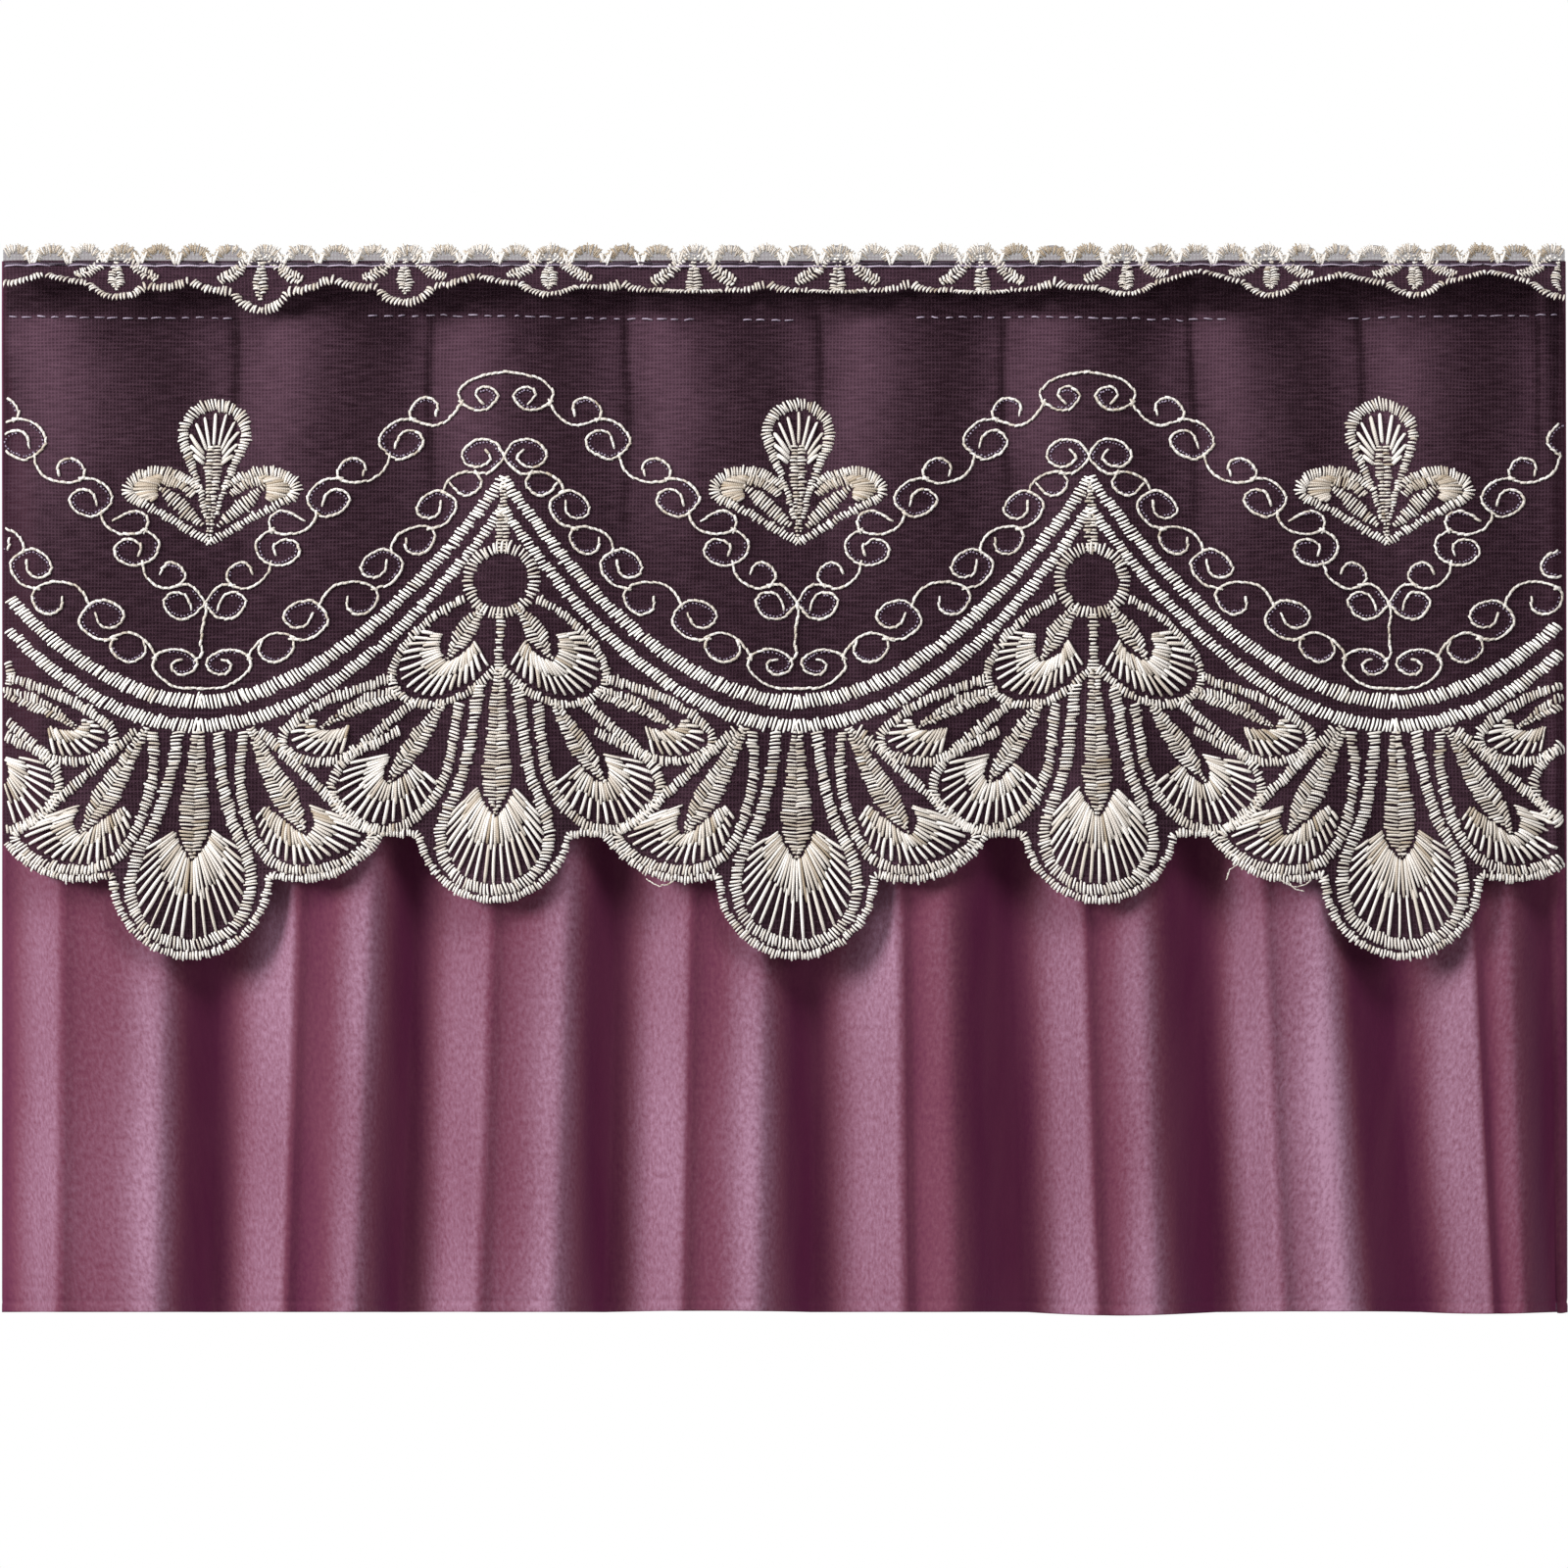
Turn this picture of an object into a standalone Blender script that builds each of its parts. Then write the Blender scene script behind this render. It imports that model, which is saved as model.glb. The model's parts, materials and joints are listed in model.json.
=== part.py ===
"""Window valance: a folded plush skirt, a scalloped net overlay and a narrow scalloped frill.

The three cloths are sewn to each other along the heading, and the valance hangs from its top
edge. X runs along that edge, Z is up and -Y faces the room. The origin is the middle of the
top edge, on the upright plane that the back of the cloth hangs against. Sizes are in metres.
"""

import math
from collections import namedtuple

import bmesh
import bpy

# Overall sizes
HALF_WIDTH = 0.263
HEADING_TOP = -0.0056  # upper edge of the skirt and of the overlay, just under the frill's tips
SKIRT_HEM = -0.3580

# Thickness of each cloth and the room between two cloths that are sewn together
SKIRT_THICK = 0.0015
OVERLAY_THICK = 0.0010
FRILL_THICK = 0.0010
SEWN_GAP = 0.0007

# The folds of the skirt, from left to right. A fold starts in the valley on its left: where
# that valley lies at the heading and at the hem, where across the fold its sharp left ridge
# (crease) and its round right ridge (shoulder) lie, how far it stands out at the hem, and how
# much longer or shorter than the others it hangs.
Fold = namedtuple("Fold", "valley_top valley_hem crease shoulder reach longer")
FOLDS = (
    Fold(-0.2630, -0.2630, 0.26, 0.66, 0.0195, 0.0000),
    Fold(-0.1850, -0.1919, 0.38, 0.70, 0.0205, 0.0000),
    Fold(-0.1190, -0.1295, 0.38, 0.69, 0.0220, 0.0000),
    Fold(-0.0530, -0.0602, 0.37, 0.68, 0.0210, -0.0004),
    Fold(0.0114, 0.0091, 0.38, 0.57, 0.0225, 0.0000),
    Fold(0.0731, 0.0820, 0.34, 0.62, 0.0210, 0.0012),
    Fold(0.1368, 0.1454, 0.33, 0.58, 0.0195, -0.0002),
    Fold(0.1929, 0.2143, 0.42, 0.76, 0.0165, 0.0006),
    Fold(0.2539, 0.2600, 0.60, 0.80, 0.0040, 0.0004),
)
FLANK_CURVE = 1.9  # how hollow the flank is: 1 is straight
FACE_DIP = 0.10  # hollow in a fold's face, and how much lower its shoulder is than its crease
SHOULDER_DROP = 0.04
FALL_CURVE = 0.85
VALLEY_DEPTH = 0.0010  # a valley stands this far off the hanging plane at the hem
TUCK_HEIGHT = 0.0018  # step of the pressed tucks at the heading
TUCK_STEP = 0.07  # share of a fold's width that this step takes
TUCKS_END = 0.25  # share of the drop at which the tucks have opened into folds
OPENING_FROM = 0.03  # share of the drop at which the folds start to open
OPENING_OVER = 0.20  # and the share over which they do
FOLD_GROWTH = 0.75  # the folds deepen with this power of the drop
DRIFT_CURVE = 1.5  # the valleys drift sideways with this power of the drop
FOLD_LEAN = 0.10  # a ridge leans this share of its depth to the left
SIDE_ZONE = 0.10  # share of the half width, at each side, where the lean dies out
DRAW_IN = 0.68  # the cloth draws in towards its middle by this share of how far it stands out

# Net overlay: how it hangs over the folds, and its hem, the lowest of these arcs and one line.
# A lobe row: arc radius, height of its centre, and where it lies across half a repeat.
HANG_GAP = 0.0034  # clear room between the overlay and the ridges below the heading
FREE_FROM = -0.0900  # below here the overlay hangs free of the tucks
NET_SINK = 0.22  # share of a fold's depth that the net sinks in over a valley
OVER_RIDGES = 1.06  # the net bridges the ridges this much further out than they reach
Lobe = namedtuple("Lobe", "radius centre across")
LOBES = (
    Lobe(0.0271, -0.2126, 0.0000),
    Lobe(0.0327, -0.1815, 0.0373),
    Lobe(0.0264, -0.1947, 0.1020),
)
HEM_REPEAT = 0.2040
HEM_MIDDLE = 0.0042  # the middle big lobe hangs a little right of centre
HEM_LINE = -0.1990

# Frill: small scallops stand up from the heading, larger ones hang forward from it.
TIP_PITCH = 0.01204
TIP_HEIGHT = 0.0048
FRILL_SEAM = -0.0070
FRILL_REPEAT = 0.0486
FRILL_MIDDLE = -0.0305  # centre of the motif just left of the middle
FrillArc = namedtuple("FrillArc", "radius lowest across")
FRILL_ARCS = (
    FrillArc(0.0106, 0.0166, 0.0000),
    FrillArc(0.0200, 0.0104, 0.0132),
)
# How the frill flares along its length: its angle from upright at the seam and at the edge.
Flare = namedtuple("Flare", "x at_seam at_edge")
FLARES = (
    Flare(-0.2630, 42, 52),
    Flare(-0.2250, 42, 54),
    Flare(-0.1762, 12, 24),
    Flare(-0.1289, 32, 42),
    Flare(-0.0808, 44, 66),
    Flare(-0.0307, 30, 88),
    Flare(0.0179, 24, 88),
    Flare(0.0668, 24, 86),
    Flare(0.1152, 38, 84),
    Flare(0.1630, 40, 74),
    Flare(0.2122, 42, 72),
    Flare(0.2630, 42, 68),
)

CURL_STEPS = 8  # short straight runs that its curl is summed from

# How finely each sheet is divided
FLANK_STEPS, FACE_STEPS, FALL_STEPS = 4, 3, 5
SKIRT_ROWS = (0.0, 0.055, 0.13, 0.24, 0.36, 0.49, 0.62, 0.75, 0.88, 1.0)
OVERLAY_STEP = 0.0034
OVERLAY_ROWS = (0.0, 0.09, 0.25, 0.48, 0.76, 1.0)
TIP_STEPS = 5
FRILL_ROWS = 4


def clear_scene():
    for old in list(bpy.data.objects):
        bpy.data.objects.remove(old, do_unlink=True)


def mix(a, b, share):
    return a + (b - a) * share


def ease(share):
    """0 to 1 with soft ends."""
    share = min(max(share, 0.0), 1.0)
    return share * share * (3.0 - 2.0 * share)


# Folds ---------------------------------------------------------------------------------------


def fold_ends(index, fall):
    """The valleys left and right of a fold, at this share of the drop."""
    fold = FOLDS[index]
    if index + 1 < len(FOLDS):
        after = FOLDS[index + 1]
    else:
        after = fold._replace(valley_top=HALF_WIDTH, valley_hem=HALF_WIDTH)
    drift = fall**DRIFT_CURVE
    left = mix(fold.valley_top, fold.valley_hem, drift)
    right = mix(after.valley_top, after.valley_hem, drift)
    return left, right


def fold_at(x, fall):
    """(fold number, share of the way across it) at this place."""
    for index in range(len(FOLDS)):
        left, right = fold_ends(index, fall)
        if x < right or index + 1 == len(FOLDS):
            return index, (x - left) / (right - left)


def fold_shape(fold, across):
    """Hanging fold: a hollow flank up to the crease, a flat face, then a round fall. 0 to 1."""
    if across < fold.crease:
        return (across / fold.crease) ** FLANK_CURVE
    if across < fold.shoulder:
        along = (across - fold.crease) / (fold.shoulder - fold.crease)
        return 1.0 - FACE_DIP * math.sin(math.pi * along) - SHOULDER_DROP * along
    fallen = (across - fold.shoulder) / (1.0 - fold.shoulder)
    return (1.0 - SHOULDER_DROP) * (0.5 + 0.5 * math.cos(math.pi * fallen**FALL_CURVE))


def tuck_shape(across):
    """Pressed tuck: a short step up, then a slow fall to the next one. 0 to 1."""
    if across < TUCK_STEP:
        return ease(across / TUCK_STEP)
    return 1.0 - ease((across - TUCK_STEP) / (1.0 - TUCK_STEP))


def fall_at(z):
    """Share of the skirt's drop below the heading."""
    return min(max((HEADING_TOP - z) / (HEADING_TOP - SKIRT_HEM), 0.0), 1.0)


def opened(fall):
    """Share of their depth at the hem that the folds have at this share of the drop."""
    return fall**FOLD_GROWTH * ease((fall - OPENING_FROM) / OPENING_OVER)


def skirt_depth(index, across, fall):
    """How far the skirt stands in front of where it lies at the bottom of a heading valley."""
    fold = FOLDS[index]
    tuck = TUCK_HEIGHT * tuck_shape(across) * (1.0 - ease(fall / TUCKS_END))
    return tuck + fold.reach * fold_shape(fold, across) * opened(fall) + VALLEY_DEPTH * fall


def ridge_depth(x, fall):
    """How far out a smooth surface over the ridges lies, from the folds on either side."""
    index, across = fold_at(x, fall)
    other = min(max(index + (1 if across > 0.5 else -1), 0), len(FOLDS) - 2)
    near = FOLDS[min(index, len(FOLDS) - 2)].reach
    reach = mix(near, FOLDS[other].reach, abs(across - 0.5))
    return OVER_RIDGES * reach * opened(fall) + VALLEY_DEPTH * fall


# Outlines ------------------------------------------------------------------------------------


def arc_bottom(offset, radius, centre):
    """Height of a circle's lowest point at this offset from its centre, or None beside it."""
    if abs(offset) >= radius:
        return None
    return centre - math.sqrt(radius * radius - offset * offset)


def overlay_hem(x):
    """Scalloped hem of the overlay: the lowest of the lobes and the line between them."""
    from_middle = (x - HEM_MIDDLE) / HEM_REPEAT
    off = abs(from_middle - round(from_middle)) * HEM_REPEAT
    lowest = HEM_LINE
    for lobe in LOBES:
        bottom = arc_bottom(off - lobe.across, lobe.radius, lobe.centre)
        if bottom is not None:
            lowest = min(lowest, bottom)
    return lowest


def frill_top(x):
    """Small scallops along the upper edge, with a notch between each two."""
    share = x / TIP_PITCH - math.floor(x / TIP_PITCH) - 0.5
    half = 0.5 * TIP_PITCH
    radius = (half * half + TIP_HEIGHT * TIP_HEIGHT) / (2.0 * TIP_HEIGHT)
    return math.sqrt(max(radius * radius - (share * TIP_PITCH) ** 2, 0.0)) - radius


def frill_length(x):
    """Length of the frill below its seam, measured along the cloth."""
    from_middle = (x - FRILL_MIDDLE) / FRILL_REPEAT
    off = abs(from_middle - round(from_middle)) * FRILL_REPEAT
    longest = 0.0
    for arc in FRILL_ARCS:
        bottom = arc_bottom(off - arc.across, arc.radius, 0.0)
        if bottom is not None:
            longest = max(longest, arc.lowest - arc.radius - bottom)
    return longest


def frill_angles(x):
    """The frill's angle from upright at its seam and at its edge, in radians."""
    for left, right in zip(FLARES, FLARES[1:]):
        if x <= right.x or right is FLARES[-1]:
            share = ease((x - left.x) / (right.x - left.x))
            at_seam = mix(left.at_seam, right.at_seam, share)
            at_edge = mix(left.at_edge, right.at_edge, share)
            return math.radians(at_seam), math.radians(at_edge)


# Where each point of a sheet's middle surface lies ---------------------------------------------


def drawn_in(x, out_to):
    return x * (1.0 - DRAW_IN * out_to)


def skirt_point(column, fall):
    index, across = column
    left, right = fold_ends(index, fall)
    fold = FOLDS[index]
    depth = skirt_depth(index, across, fall)
    x = mix(left, right, across)
    from_side = (HALF_WIDTH - abs(x)) / HALF_WIDTH
    lean = FOLD_LEAN * depth * ease(from_side / SIDE_ZONE)
    z = mix(HEADING_TOP, SKIRT_HEM - fold.longer * math.sin(math.pi * across), fall)
    return drawn_in(x - lean, depth), -(0.5 * SKIRT_THICK + depth), z


def overlay_point(x, share):
    z = mix(HEADING_TOP, overlay_hem(x), share)
    fall = fall_at(z)
    index, across = fold_at(x, fall)
    free = ease((HEADING_TOP - z) / (HEADING_TOP - FREE_FROM))
    sunk = 1.0 - NET_SINK * (0.5 + 0.5 * math.cos(2.0 * math.pi * across))
    depth = mix(skirt_depth(index, across, fall), ridge_depth(x, fall) * sunk, free)
    room = 0.5 * OVERLAY_THICK + SKIRT_THICK + mix(SEWN_GAP, HANG_GAP, free)
    return drawn_in(x, depth + room), -(depth + room), z


def frill_point(x, row):
    front = TUCK_HEIGHT + SKIRT_THICK + OVERLAY_THICK + 2.0 * SEWN_GAP + 0.5 * FRILL_THICK
    if row == 0:
        return drawn_in(x, front), -front, frill_top(x)
    at_seam, at_edge = frill_angles(x)
    share = (row - 1) / (FRILL_ROWS - 1)
    down = out = 0.0
    for step in range(CURL_STEPS):
        angle = mix(at_seam, at_edge, share * (step + 0.5) / CURL_STEPS)
        down += math.cos(angle) / CURL_STEPS
        out += math.sin(angle) / CURL_STEPS
    run = frill_length(x) * share
    out_to = front + run * out
    return drawn_in(x, out_to), -out_to, FRILL_SEAM - run * down


# Meshes --------------------------------------------------------------------------------------


def skirt_columns():
    """(fold number, share across) for each column, with one on every valley, crease and shoulder."""
    columns = []
    for index, fold in enumerate(FOLDS):
        if index + 1 == len(FOLDS):
            columns += [(index, 0.0), (index, 0.5), (index, 1.0)]
            break
        stops = ((0.0, fold.crease, FLANK_STEPS), (fold.crease, fold.shoulder, FACE_STEPS))
        stops += ((fold.shoulder, 1.0, FALL_STEPS),)
        for start, end, steps in stops:
            columns += [(index, mix(start, end, step / steps)) for step in range(steps)]
    return columns


def even_columns(step):
    count = round(2.0 * HALF_WIDTH / step)
    return [mix(-HALF_WIDTH, HALF_WIDTH, number / count) for number in range(count + 1)]


def frill_columns():
    """Columns that fall on every notch of the small scallops, and on both sides."""
    step = TIP_PITCH / TIP_STEPS
    first = math.ceil(-HALF_WIDTH / step + 0.3)
    last = math.floor(HALF_WIDTH / step - 0.3)
    inner = [number * step for number in range(first, last + 1)]
    return [-HALF_WIDTH, *inner, HALF_WIDTH]


def cloth_material(name, colour, roughness):
    material = bpy.data.materials.new(name)
    material.use_nodes = True
    shader = material.node_tree.nodes["Principled BSDF"]
    shader.inputs["Base Color"].default_value = (*colour, 1.0)
    shader.inputs["Roughness"].default_value = roughness
    shader.inputs["Metallic"].default_value = 0.0
    material.diffuse_color = (*colour, 1.0)
    return material


def make_sheet(name, columns, rows, place, thick, material, collection):
    """A grid laid out by place(column, row), thickened evenly about its middle."""
    shape = bmesh.new()
    across, down = len(columns) - 1, len(rows) - 1
    bmesh.ops.create_grid(shape, x_segments=across, y_segments=down, size=1.0)
    for vertex in shape.verts:
        column = columns[round((vertex.co.x + 1.0) * 0.5 * across)]
        row = rows[round((1.0 - vertex.co.y) * 0.5 * down)]
        vertex.co = place(column, row)
    for edge in shape.edges:
        edge.smooth = not edge.is_boundary
    mesh = bpy.data.meshes.new(name)
    shape.to_mesh(mesh)
    shape.free()
    mesh.shade_smooth()
    mesh.materials.append(material)
    sheet = bpy.data.objects.new(name, mesh)
    collection.objects.link(sheet)
    shell = sheet.modifiers.new("Thickness", "SOLIDIFY")
    shell.thickness = thick
    shell.offset = 0.0
    shell.use_even_offset = True
    return sheet


def make_skirt(collection):
    plush = cloth_material("plum_plush", (0.24, 0.075, 0.16), 0.85)
    make_sheet("skirt", skirt_columns(), SKIRT_ROWS, skirt_point, SKIRT_THICK, plush, collection)


def make_overlay(collection):
    net = cloth_material("aubergine_net", (0.055, 0.022, 0.042), 0.80)
    columns = even_columns(OVERLAY_STEP)
    make_sheet("overlay", columns, OVERLAY_ROWS, overlay_point, OVERLAY_THICK, net, collection)


def make_frill(collection):
    edging = cloth_material("embroidered_edging", (0.36, 0.31, 0.27), 0.70)
    rows = range(FRILL_ROWS + 1)
    make_sheet("frill", frill_columns(), rows, frill_point, FRILL_THICK, edging, collection)


def main():
    clear_scene()
    valance = bpy.data.collections.new("window_valance")
    bpy.context.scene.collection.children.link(valance)
    make_skirt(valance)
    make_overlay(valance)
    make_frill(valance)


main()
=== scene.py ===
"""Looks of the window valance: plush skirt, embroidered net overlay and frill.

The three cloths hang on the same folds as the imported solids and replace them. All the sewing is
made of real stitches: each is a short arched thread laid on its cloth. Sizes are in metres. The
embroidery is drawn on a fine grid, across and down, and laid on the cloth from there.
"""

import json
from collections import namedtuple

import bpy
import numpy as np
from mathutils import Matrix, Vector

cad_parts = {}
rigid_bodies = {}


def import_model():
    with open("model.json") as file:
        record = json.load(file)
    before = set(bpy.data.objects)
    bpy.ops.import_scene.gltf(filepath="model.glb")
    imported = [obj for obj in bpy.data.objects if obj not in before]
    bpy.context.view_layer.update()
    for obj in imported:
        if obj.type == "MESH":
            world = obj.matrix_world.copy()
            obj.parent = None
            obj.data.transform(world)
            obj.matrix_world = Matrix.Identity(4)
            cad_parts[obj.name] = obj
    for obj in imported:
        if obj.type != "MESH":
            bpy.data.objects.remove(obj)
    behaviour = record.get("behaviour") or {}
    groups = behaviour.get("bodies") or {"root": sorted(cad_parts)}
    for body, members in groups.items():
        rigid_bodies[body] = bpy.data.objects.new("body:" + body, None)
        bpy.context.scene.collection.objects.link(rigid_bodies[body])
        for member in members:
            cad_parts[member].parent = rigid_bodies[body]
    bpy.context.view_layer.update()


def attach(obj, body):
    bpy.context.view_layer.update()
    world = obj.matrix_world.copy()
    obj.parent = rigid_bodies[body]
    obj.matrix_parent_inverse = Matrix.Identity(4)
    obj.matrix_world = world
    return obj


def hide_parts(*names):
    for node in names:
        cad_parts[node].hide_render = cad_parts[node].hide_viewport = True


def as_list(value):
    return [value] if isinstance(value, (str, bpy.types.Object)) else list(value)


CHANCE = np.random.default_rng(11)

# Overall sizes, the same as the solids'
HALF_WIDTH = 0.263
HEADING_TOP = -0.0056
SKIRT_HEM = -0.3580
SKIRT_THICK = 0.0015
OVERLAY_THICK = 0.0010
FRILL_THICK = 0.0010
SEWN_GAP = 0.0007

# Folds from left to right: valley at the heading and at the hem, share across of the sharp left
# ridge (crease) and of the round right one (shoulder), reach at the hem, extra length, and the
# strength of the painted highlight on its flank, on its flat face and on its shoulder.
FOLD_COLUMNS = "valley_top valley_hem crease shoulder reach longer flank_tone face_tone shoulder_tone"
Fold = namedtuple("Fold", FOLD_COLUMNS)
FOLDS = (
    Fold(-0.2630, -0.2630, 0.26, 0.66, 0.0195, 0.0000, 0.46, 0.26, 0.38),
    Fold(-0.1850, -0.1919, 0.38, 0.70, 0.0205, 0.0000, 0.52, 0.11, 0.44),
    Fold(-0.1190, -0.1295, 0.38, 0.69, 0.0220, 0.0000, 0.48, 0.28, 0.36),
    Fold(-0.0530, -0.0602, 0.37, 0.68, 0.0210, -0.0004, 0.52, 0.19, 0.46),
    Fold(0.0114, 0.0091, 0.43, 0.60, 0.0225, 0.0000, 0.56, 0.13, 0.06),
    Fold(0.0731, 0.0820, 0.37, 0.62, 0.0210, 0.0012, 0.56, 0.18, 0.38),
    Fold(0.1368, 0.1454, 0.33, 0.58, 0.0195, -0.0002, 0.48, 0.46, 0.30),
    Fold(0.1929, 0.2143, 0.53, 0.70, 0.0165, 0.0006, 0.58, 0.05, 0.24),
    Fold(0.2539, 0.2600, 0.60, 0.80, 0.0012, 0.0004, 0.12, 0.08, 0.00),
)
# Painted shade of the net: under it the pile's painted highlights are half as strong. They come to
# full strength from this far below the net's hem (a minus is above it), over this length.
BLOOM_FROM = -0.004
BLOOM_OVER = 0.026
HIGHLIGHT_IN_NET_SHADE = 0.50
# Shares of a fold's width over which the pile's painted light and shade change
FLANK_RISE = 0.72  # of the flank alone, from its valley to its palest
FLANK_END = 0.04
FACE_START = 0.05
FACE_END = 0.16
SHOULDER_BLOOM = 0.11
FLANK_CURVE = 1.9
FACE_DIP = 0.18
DIP_CURVE = 0.6  # the dip is deepest close to the crease
SHOULDER_DROP = 0.03
SHOULDER_LATER = 0.05  # the cloth rolls over its shoulder this much further across
FALL_CURVE = 0.95
CREASE_ROUND = (-0.026, -0.013, 0.0, 0.013, 0.026)  # the creases are rounded over this much
HEM_DROP = 0.0012
VALLEY_DEPTH = 0.0010
TUCK_HEIGHT = 0.0018
TUCK_STEP = 0.07
TUCKS_END = 0.25
BILLOW = 0.0015  # the cloth swells to the right of each tuck
BILLOW_TOP = 0.30
BILLOW_FADE = (0.0, 0.07, 0.16, 0.46)
OPENING_FROM = 0.03
OPENING_OVER = 0.20
FOLD_GROWTH = 0.75
DRIFT_CURVE = 1.5
FOLD_LEAN = 0.02
SIDE_ZONE = 0.10
DRAW_IN = 0.68  # cloth is drawn towards the middle by this for each metre that it stands out
EYE_LEVEL = -0.1815  # the height that it is drawn towards

HANG_GAP = 0.0034
FREE_FROM = -0.0900
NET_SINK = 0.22
OVER_RIDGES = 1.06
Lobe = namedtuple("Lobe", "radius centre across")
LOBES = (
    Lobe(0.0271, -0.2126, 0.0000),
    Lobe(0.0327, -0.1815, 0.0373),
    Lobe(0.0264, -0.1947, 0.1020),
)
HEM_REPEAT = 0.2040
HEM_MIDDLE = 0.0042
HEM_LINE = -0.1990

TIP_PITCH = 0.01204
TIP_HEIGHT = 0.0048
FRILL_SEAM = -0.0070
FRILL_REPEAT = 0.0486
FRILL_MIDDLE = -0.0305
FrillArc = namedtuple("FrillArc", "radius lowest across")
FRILL_ARCS = (FrillArc(0.0106, 0.0166, 0.0000), FrillArc(0.0200, 0.0104, 0.0132))
# The frill's angle from straight down, in degrees, at its seam and at its edge
Flare = namedtuple("Flare", "x at_seam at_edge")
FLARES = [
    Flare(*row)
    for row in (
        (-0.2630, 50, 54), (-0.2495, 62, 72), (-0.2247, 42, 54), (-0.2000, 34, 40), (-0.1756, 10, 22),
        (-0.1515, 42, 50), (-0.1274, 32, 42), (-0.1026, 56, 66), (-0.0792, 42, 62), (-0.0660, 34, 84),
        (-0.0540, 15, 88), (-0.0300, 14, 88), (-0.0046, 12, 88), (0.0422, 13, 88), (0.0667, 12, 86),
        (0.0914, 28, 85), (0.1152, 34, 70), (0.1396, 72, 82), (0.1634, 42, 60), (0.1881, 62, 74),
        (0.2125, 42, 60), (0.2383, 70, 80), (0.2630, 38, 56),
    )
]
CURL_FROM = 0.0066  # the frill turns outward from this far below its seam, over this length
CURL_OVER = 0.0040
CURL_STEPS = 14

# The embroidery's grid: size of one unit, the unit column of the middle and the row of the top
# edge. The pattern spreads a little from its middle column towards the hem.
GRID = 0.00033
GRID_MIDDLE = 800.0
GRID_TOP = 250.0
SPREAD_MIDDLE = 812.0
SPREAD_FROM = 480.0
SPREAD = 0.035 / 420.0
SEWN_FROM, SEWN_TO = 4.0, 1596.0  # the columns between which there is cloth to sew on
VALLEYS = (215.5, 813.0, 1410.5)  # columns of the pattern's centre lines
PEAKS = (-83.25, 514.25, 1111.75, 1709.25)


def mix(a, b, share):
    return a + (b - a) * share


def ease(share):
    share = np.clip(share, 0.0, 1.0)
    return share * share * (3.0 - 2.0 * share)


def passed(value, start, length):
    """0 up to start, 1 from start + length on, and smooth between."""
    return ease((value - start) / length)


def hump(value, middle, width):
    return np.exp(-(((value - middle) / width) ** 2))


# Shape of the cloths --------------------


def column_of(name, rows=FOLDS):
    return np.array([getattr(row, name) for row in rows])


def valleys_at(index, fall):
    """Places of the valleys to the left and to the right of a fold."""
    tops = np.append(column_of("valley_top"), HALF_WIDTH)
    hems = np.append(column_of("valley_hem"), HALF_WIDTH)
    drift = fall**DRIFT_CURVE
    return [mix(tops[side], hems[side], drift) for side in (index, index + 1)]


def folds_at(x, fall):
    """Fold number and share of the way across it, for arrays of places."""
    index = sum((x >= valleys_at(number, fall)[0]).astype(int) for number in range(1, len(FOLDS)))
    left, right = valleys_at(index, fall)
    return index, (x - left) / (right - left)


def fold_of(column):
    """Fold number and share across it. A column is their sum."""
    index = np.minimum(column.astype(int), len(FOLDS) - 1)
    return index, column - index


def fold_line(index, across):
    """A hanging fold's depth, 0 to 1: hollow flank, crease, flat face, shoulder, round fall."""
    crease = column_of("crease")[index]
    shoulder = column_of("shoulder")[index] + SHOULDER_LATER
    across = np.clip(across, 0.0, 1.0)
    flank = (across / crease) ** FLANK_CURVE
    along = (across - crease) / (shoulder - crease)
    dip = FACE_DIP * np.sin(np.pi * np.clip(along, 0.0, 1.0) ** DIP_CURVE)
    face = 1.0 - dip - SHOULDER_DROP * along
    fallen = np.clip((across - shoulder) / (1.0 - shoulder), 0.0, 1.0)
    fall = (1.0 - SHOULDER_DROP) * (0.5 + 0.5 * np.cos(np.pi * fallen**FALL_CURVE))
    return np.where(across < crease, flank, np.where(across < shoulder, face, fall))


def fold_shape(index, across):
    return sum(fold_line(index, across + step) for step in CREASE_ROUND) / len(CREASE_ROUND)


def billow_shape(across, fall):
    rise = 1.0 - (1.0 - np.clip(across / BILLOW_TOP, 0.0, 1.0)) ** 2
    after = ease((across - BILLOW_TOP) / (1.0 - BILLOW_TOP))
    start, full, fading, gone = BILLOW_FADE
    shown = ease((fall - start) / (full - start)) * (1.0 - ease((fall - fading) / (gone - fading)))
    return rise * (1.0 - after) * shown


def tuck_shape(across):
    up = ease(across / TUCK_STEP)
    return np.where(across < TUCK_STEP, up, 1.0 - ease((across - TUCK_STEP) / (1.0 - TUCK_STEP)))


def fall_at(z):
    return np.clip((HEADING_TOP - z) / (HEADING_TOP - SKIRT_HEM), 0.0, 1.0)


def opened(fall):
    return fall**FOLD_GROWTH * ease((fall - OPENING_FROM) / OPENING_OVER)


def skirt_depth(index, across, fall):
    tuck = TUCK_HEIGHT * tuck_shape(across) * (1.0 - ease(fall / TUCKS_END))
    reach = column_of("reach")[index]
    tuck = tuck + BILLOW * billow_shape(across, fall)
    return tuck + reach * fold_shape(index, across) * opened(fall) + VALLEY_DEPTH * fall


def ridge_depth(index, across, fall):
    reach = column_of("reach")
    last = len(FOLDS) - 2
    other = np.clip(index + np.where(across > 0.5, 1, -1), 0, last)
    near = reach[np.minimum(index, last)]
    return OVER_RIDGES * mix(near, reach[other], abs(across - 0.5)) * opened(fall) + VALLEY_DEPTH * fall


def arc_bottom(offset, radius, centre, none):
    inside = np.clip(radius * radius - offset * offset, 0.0, None)
    return np.where(abs(offset) < radius, centre - np.sqrt(inside), none)


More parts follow.
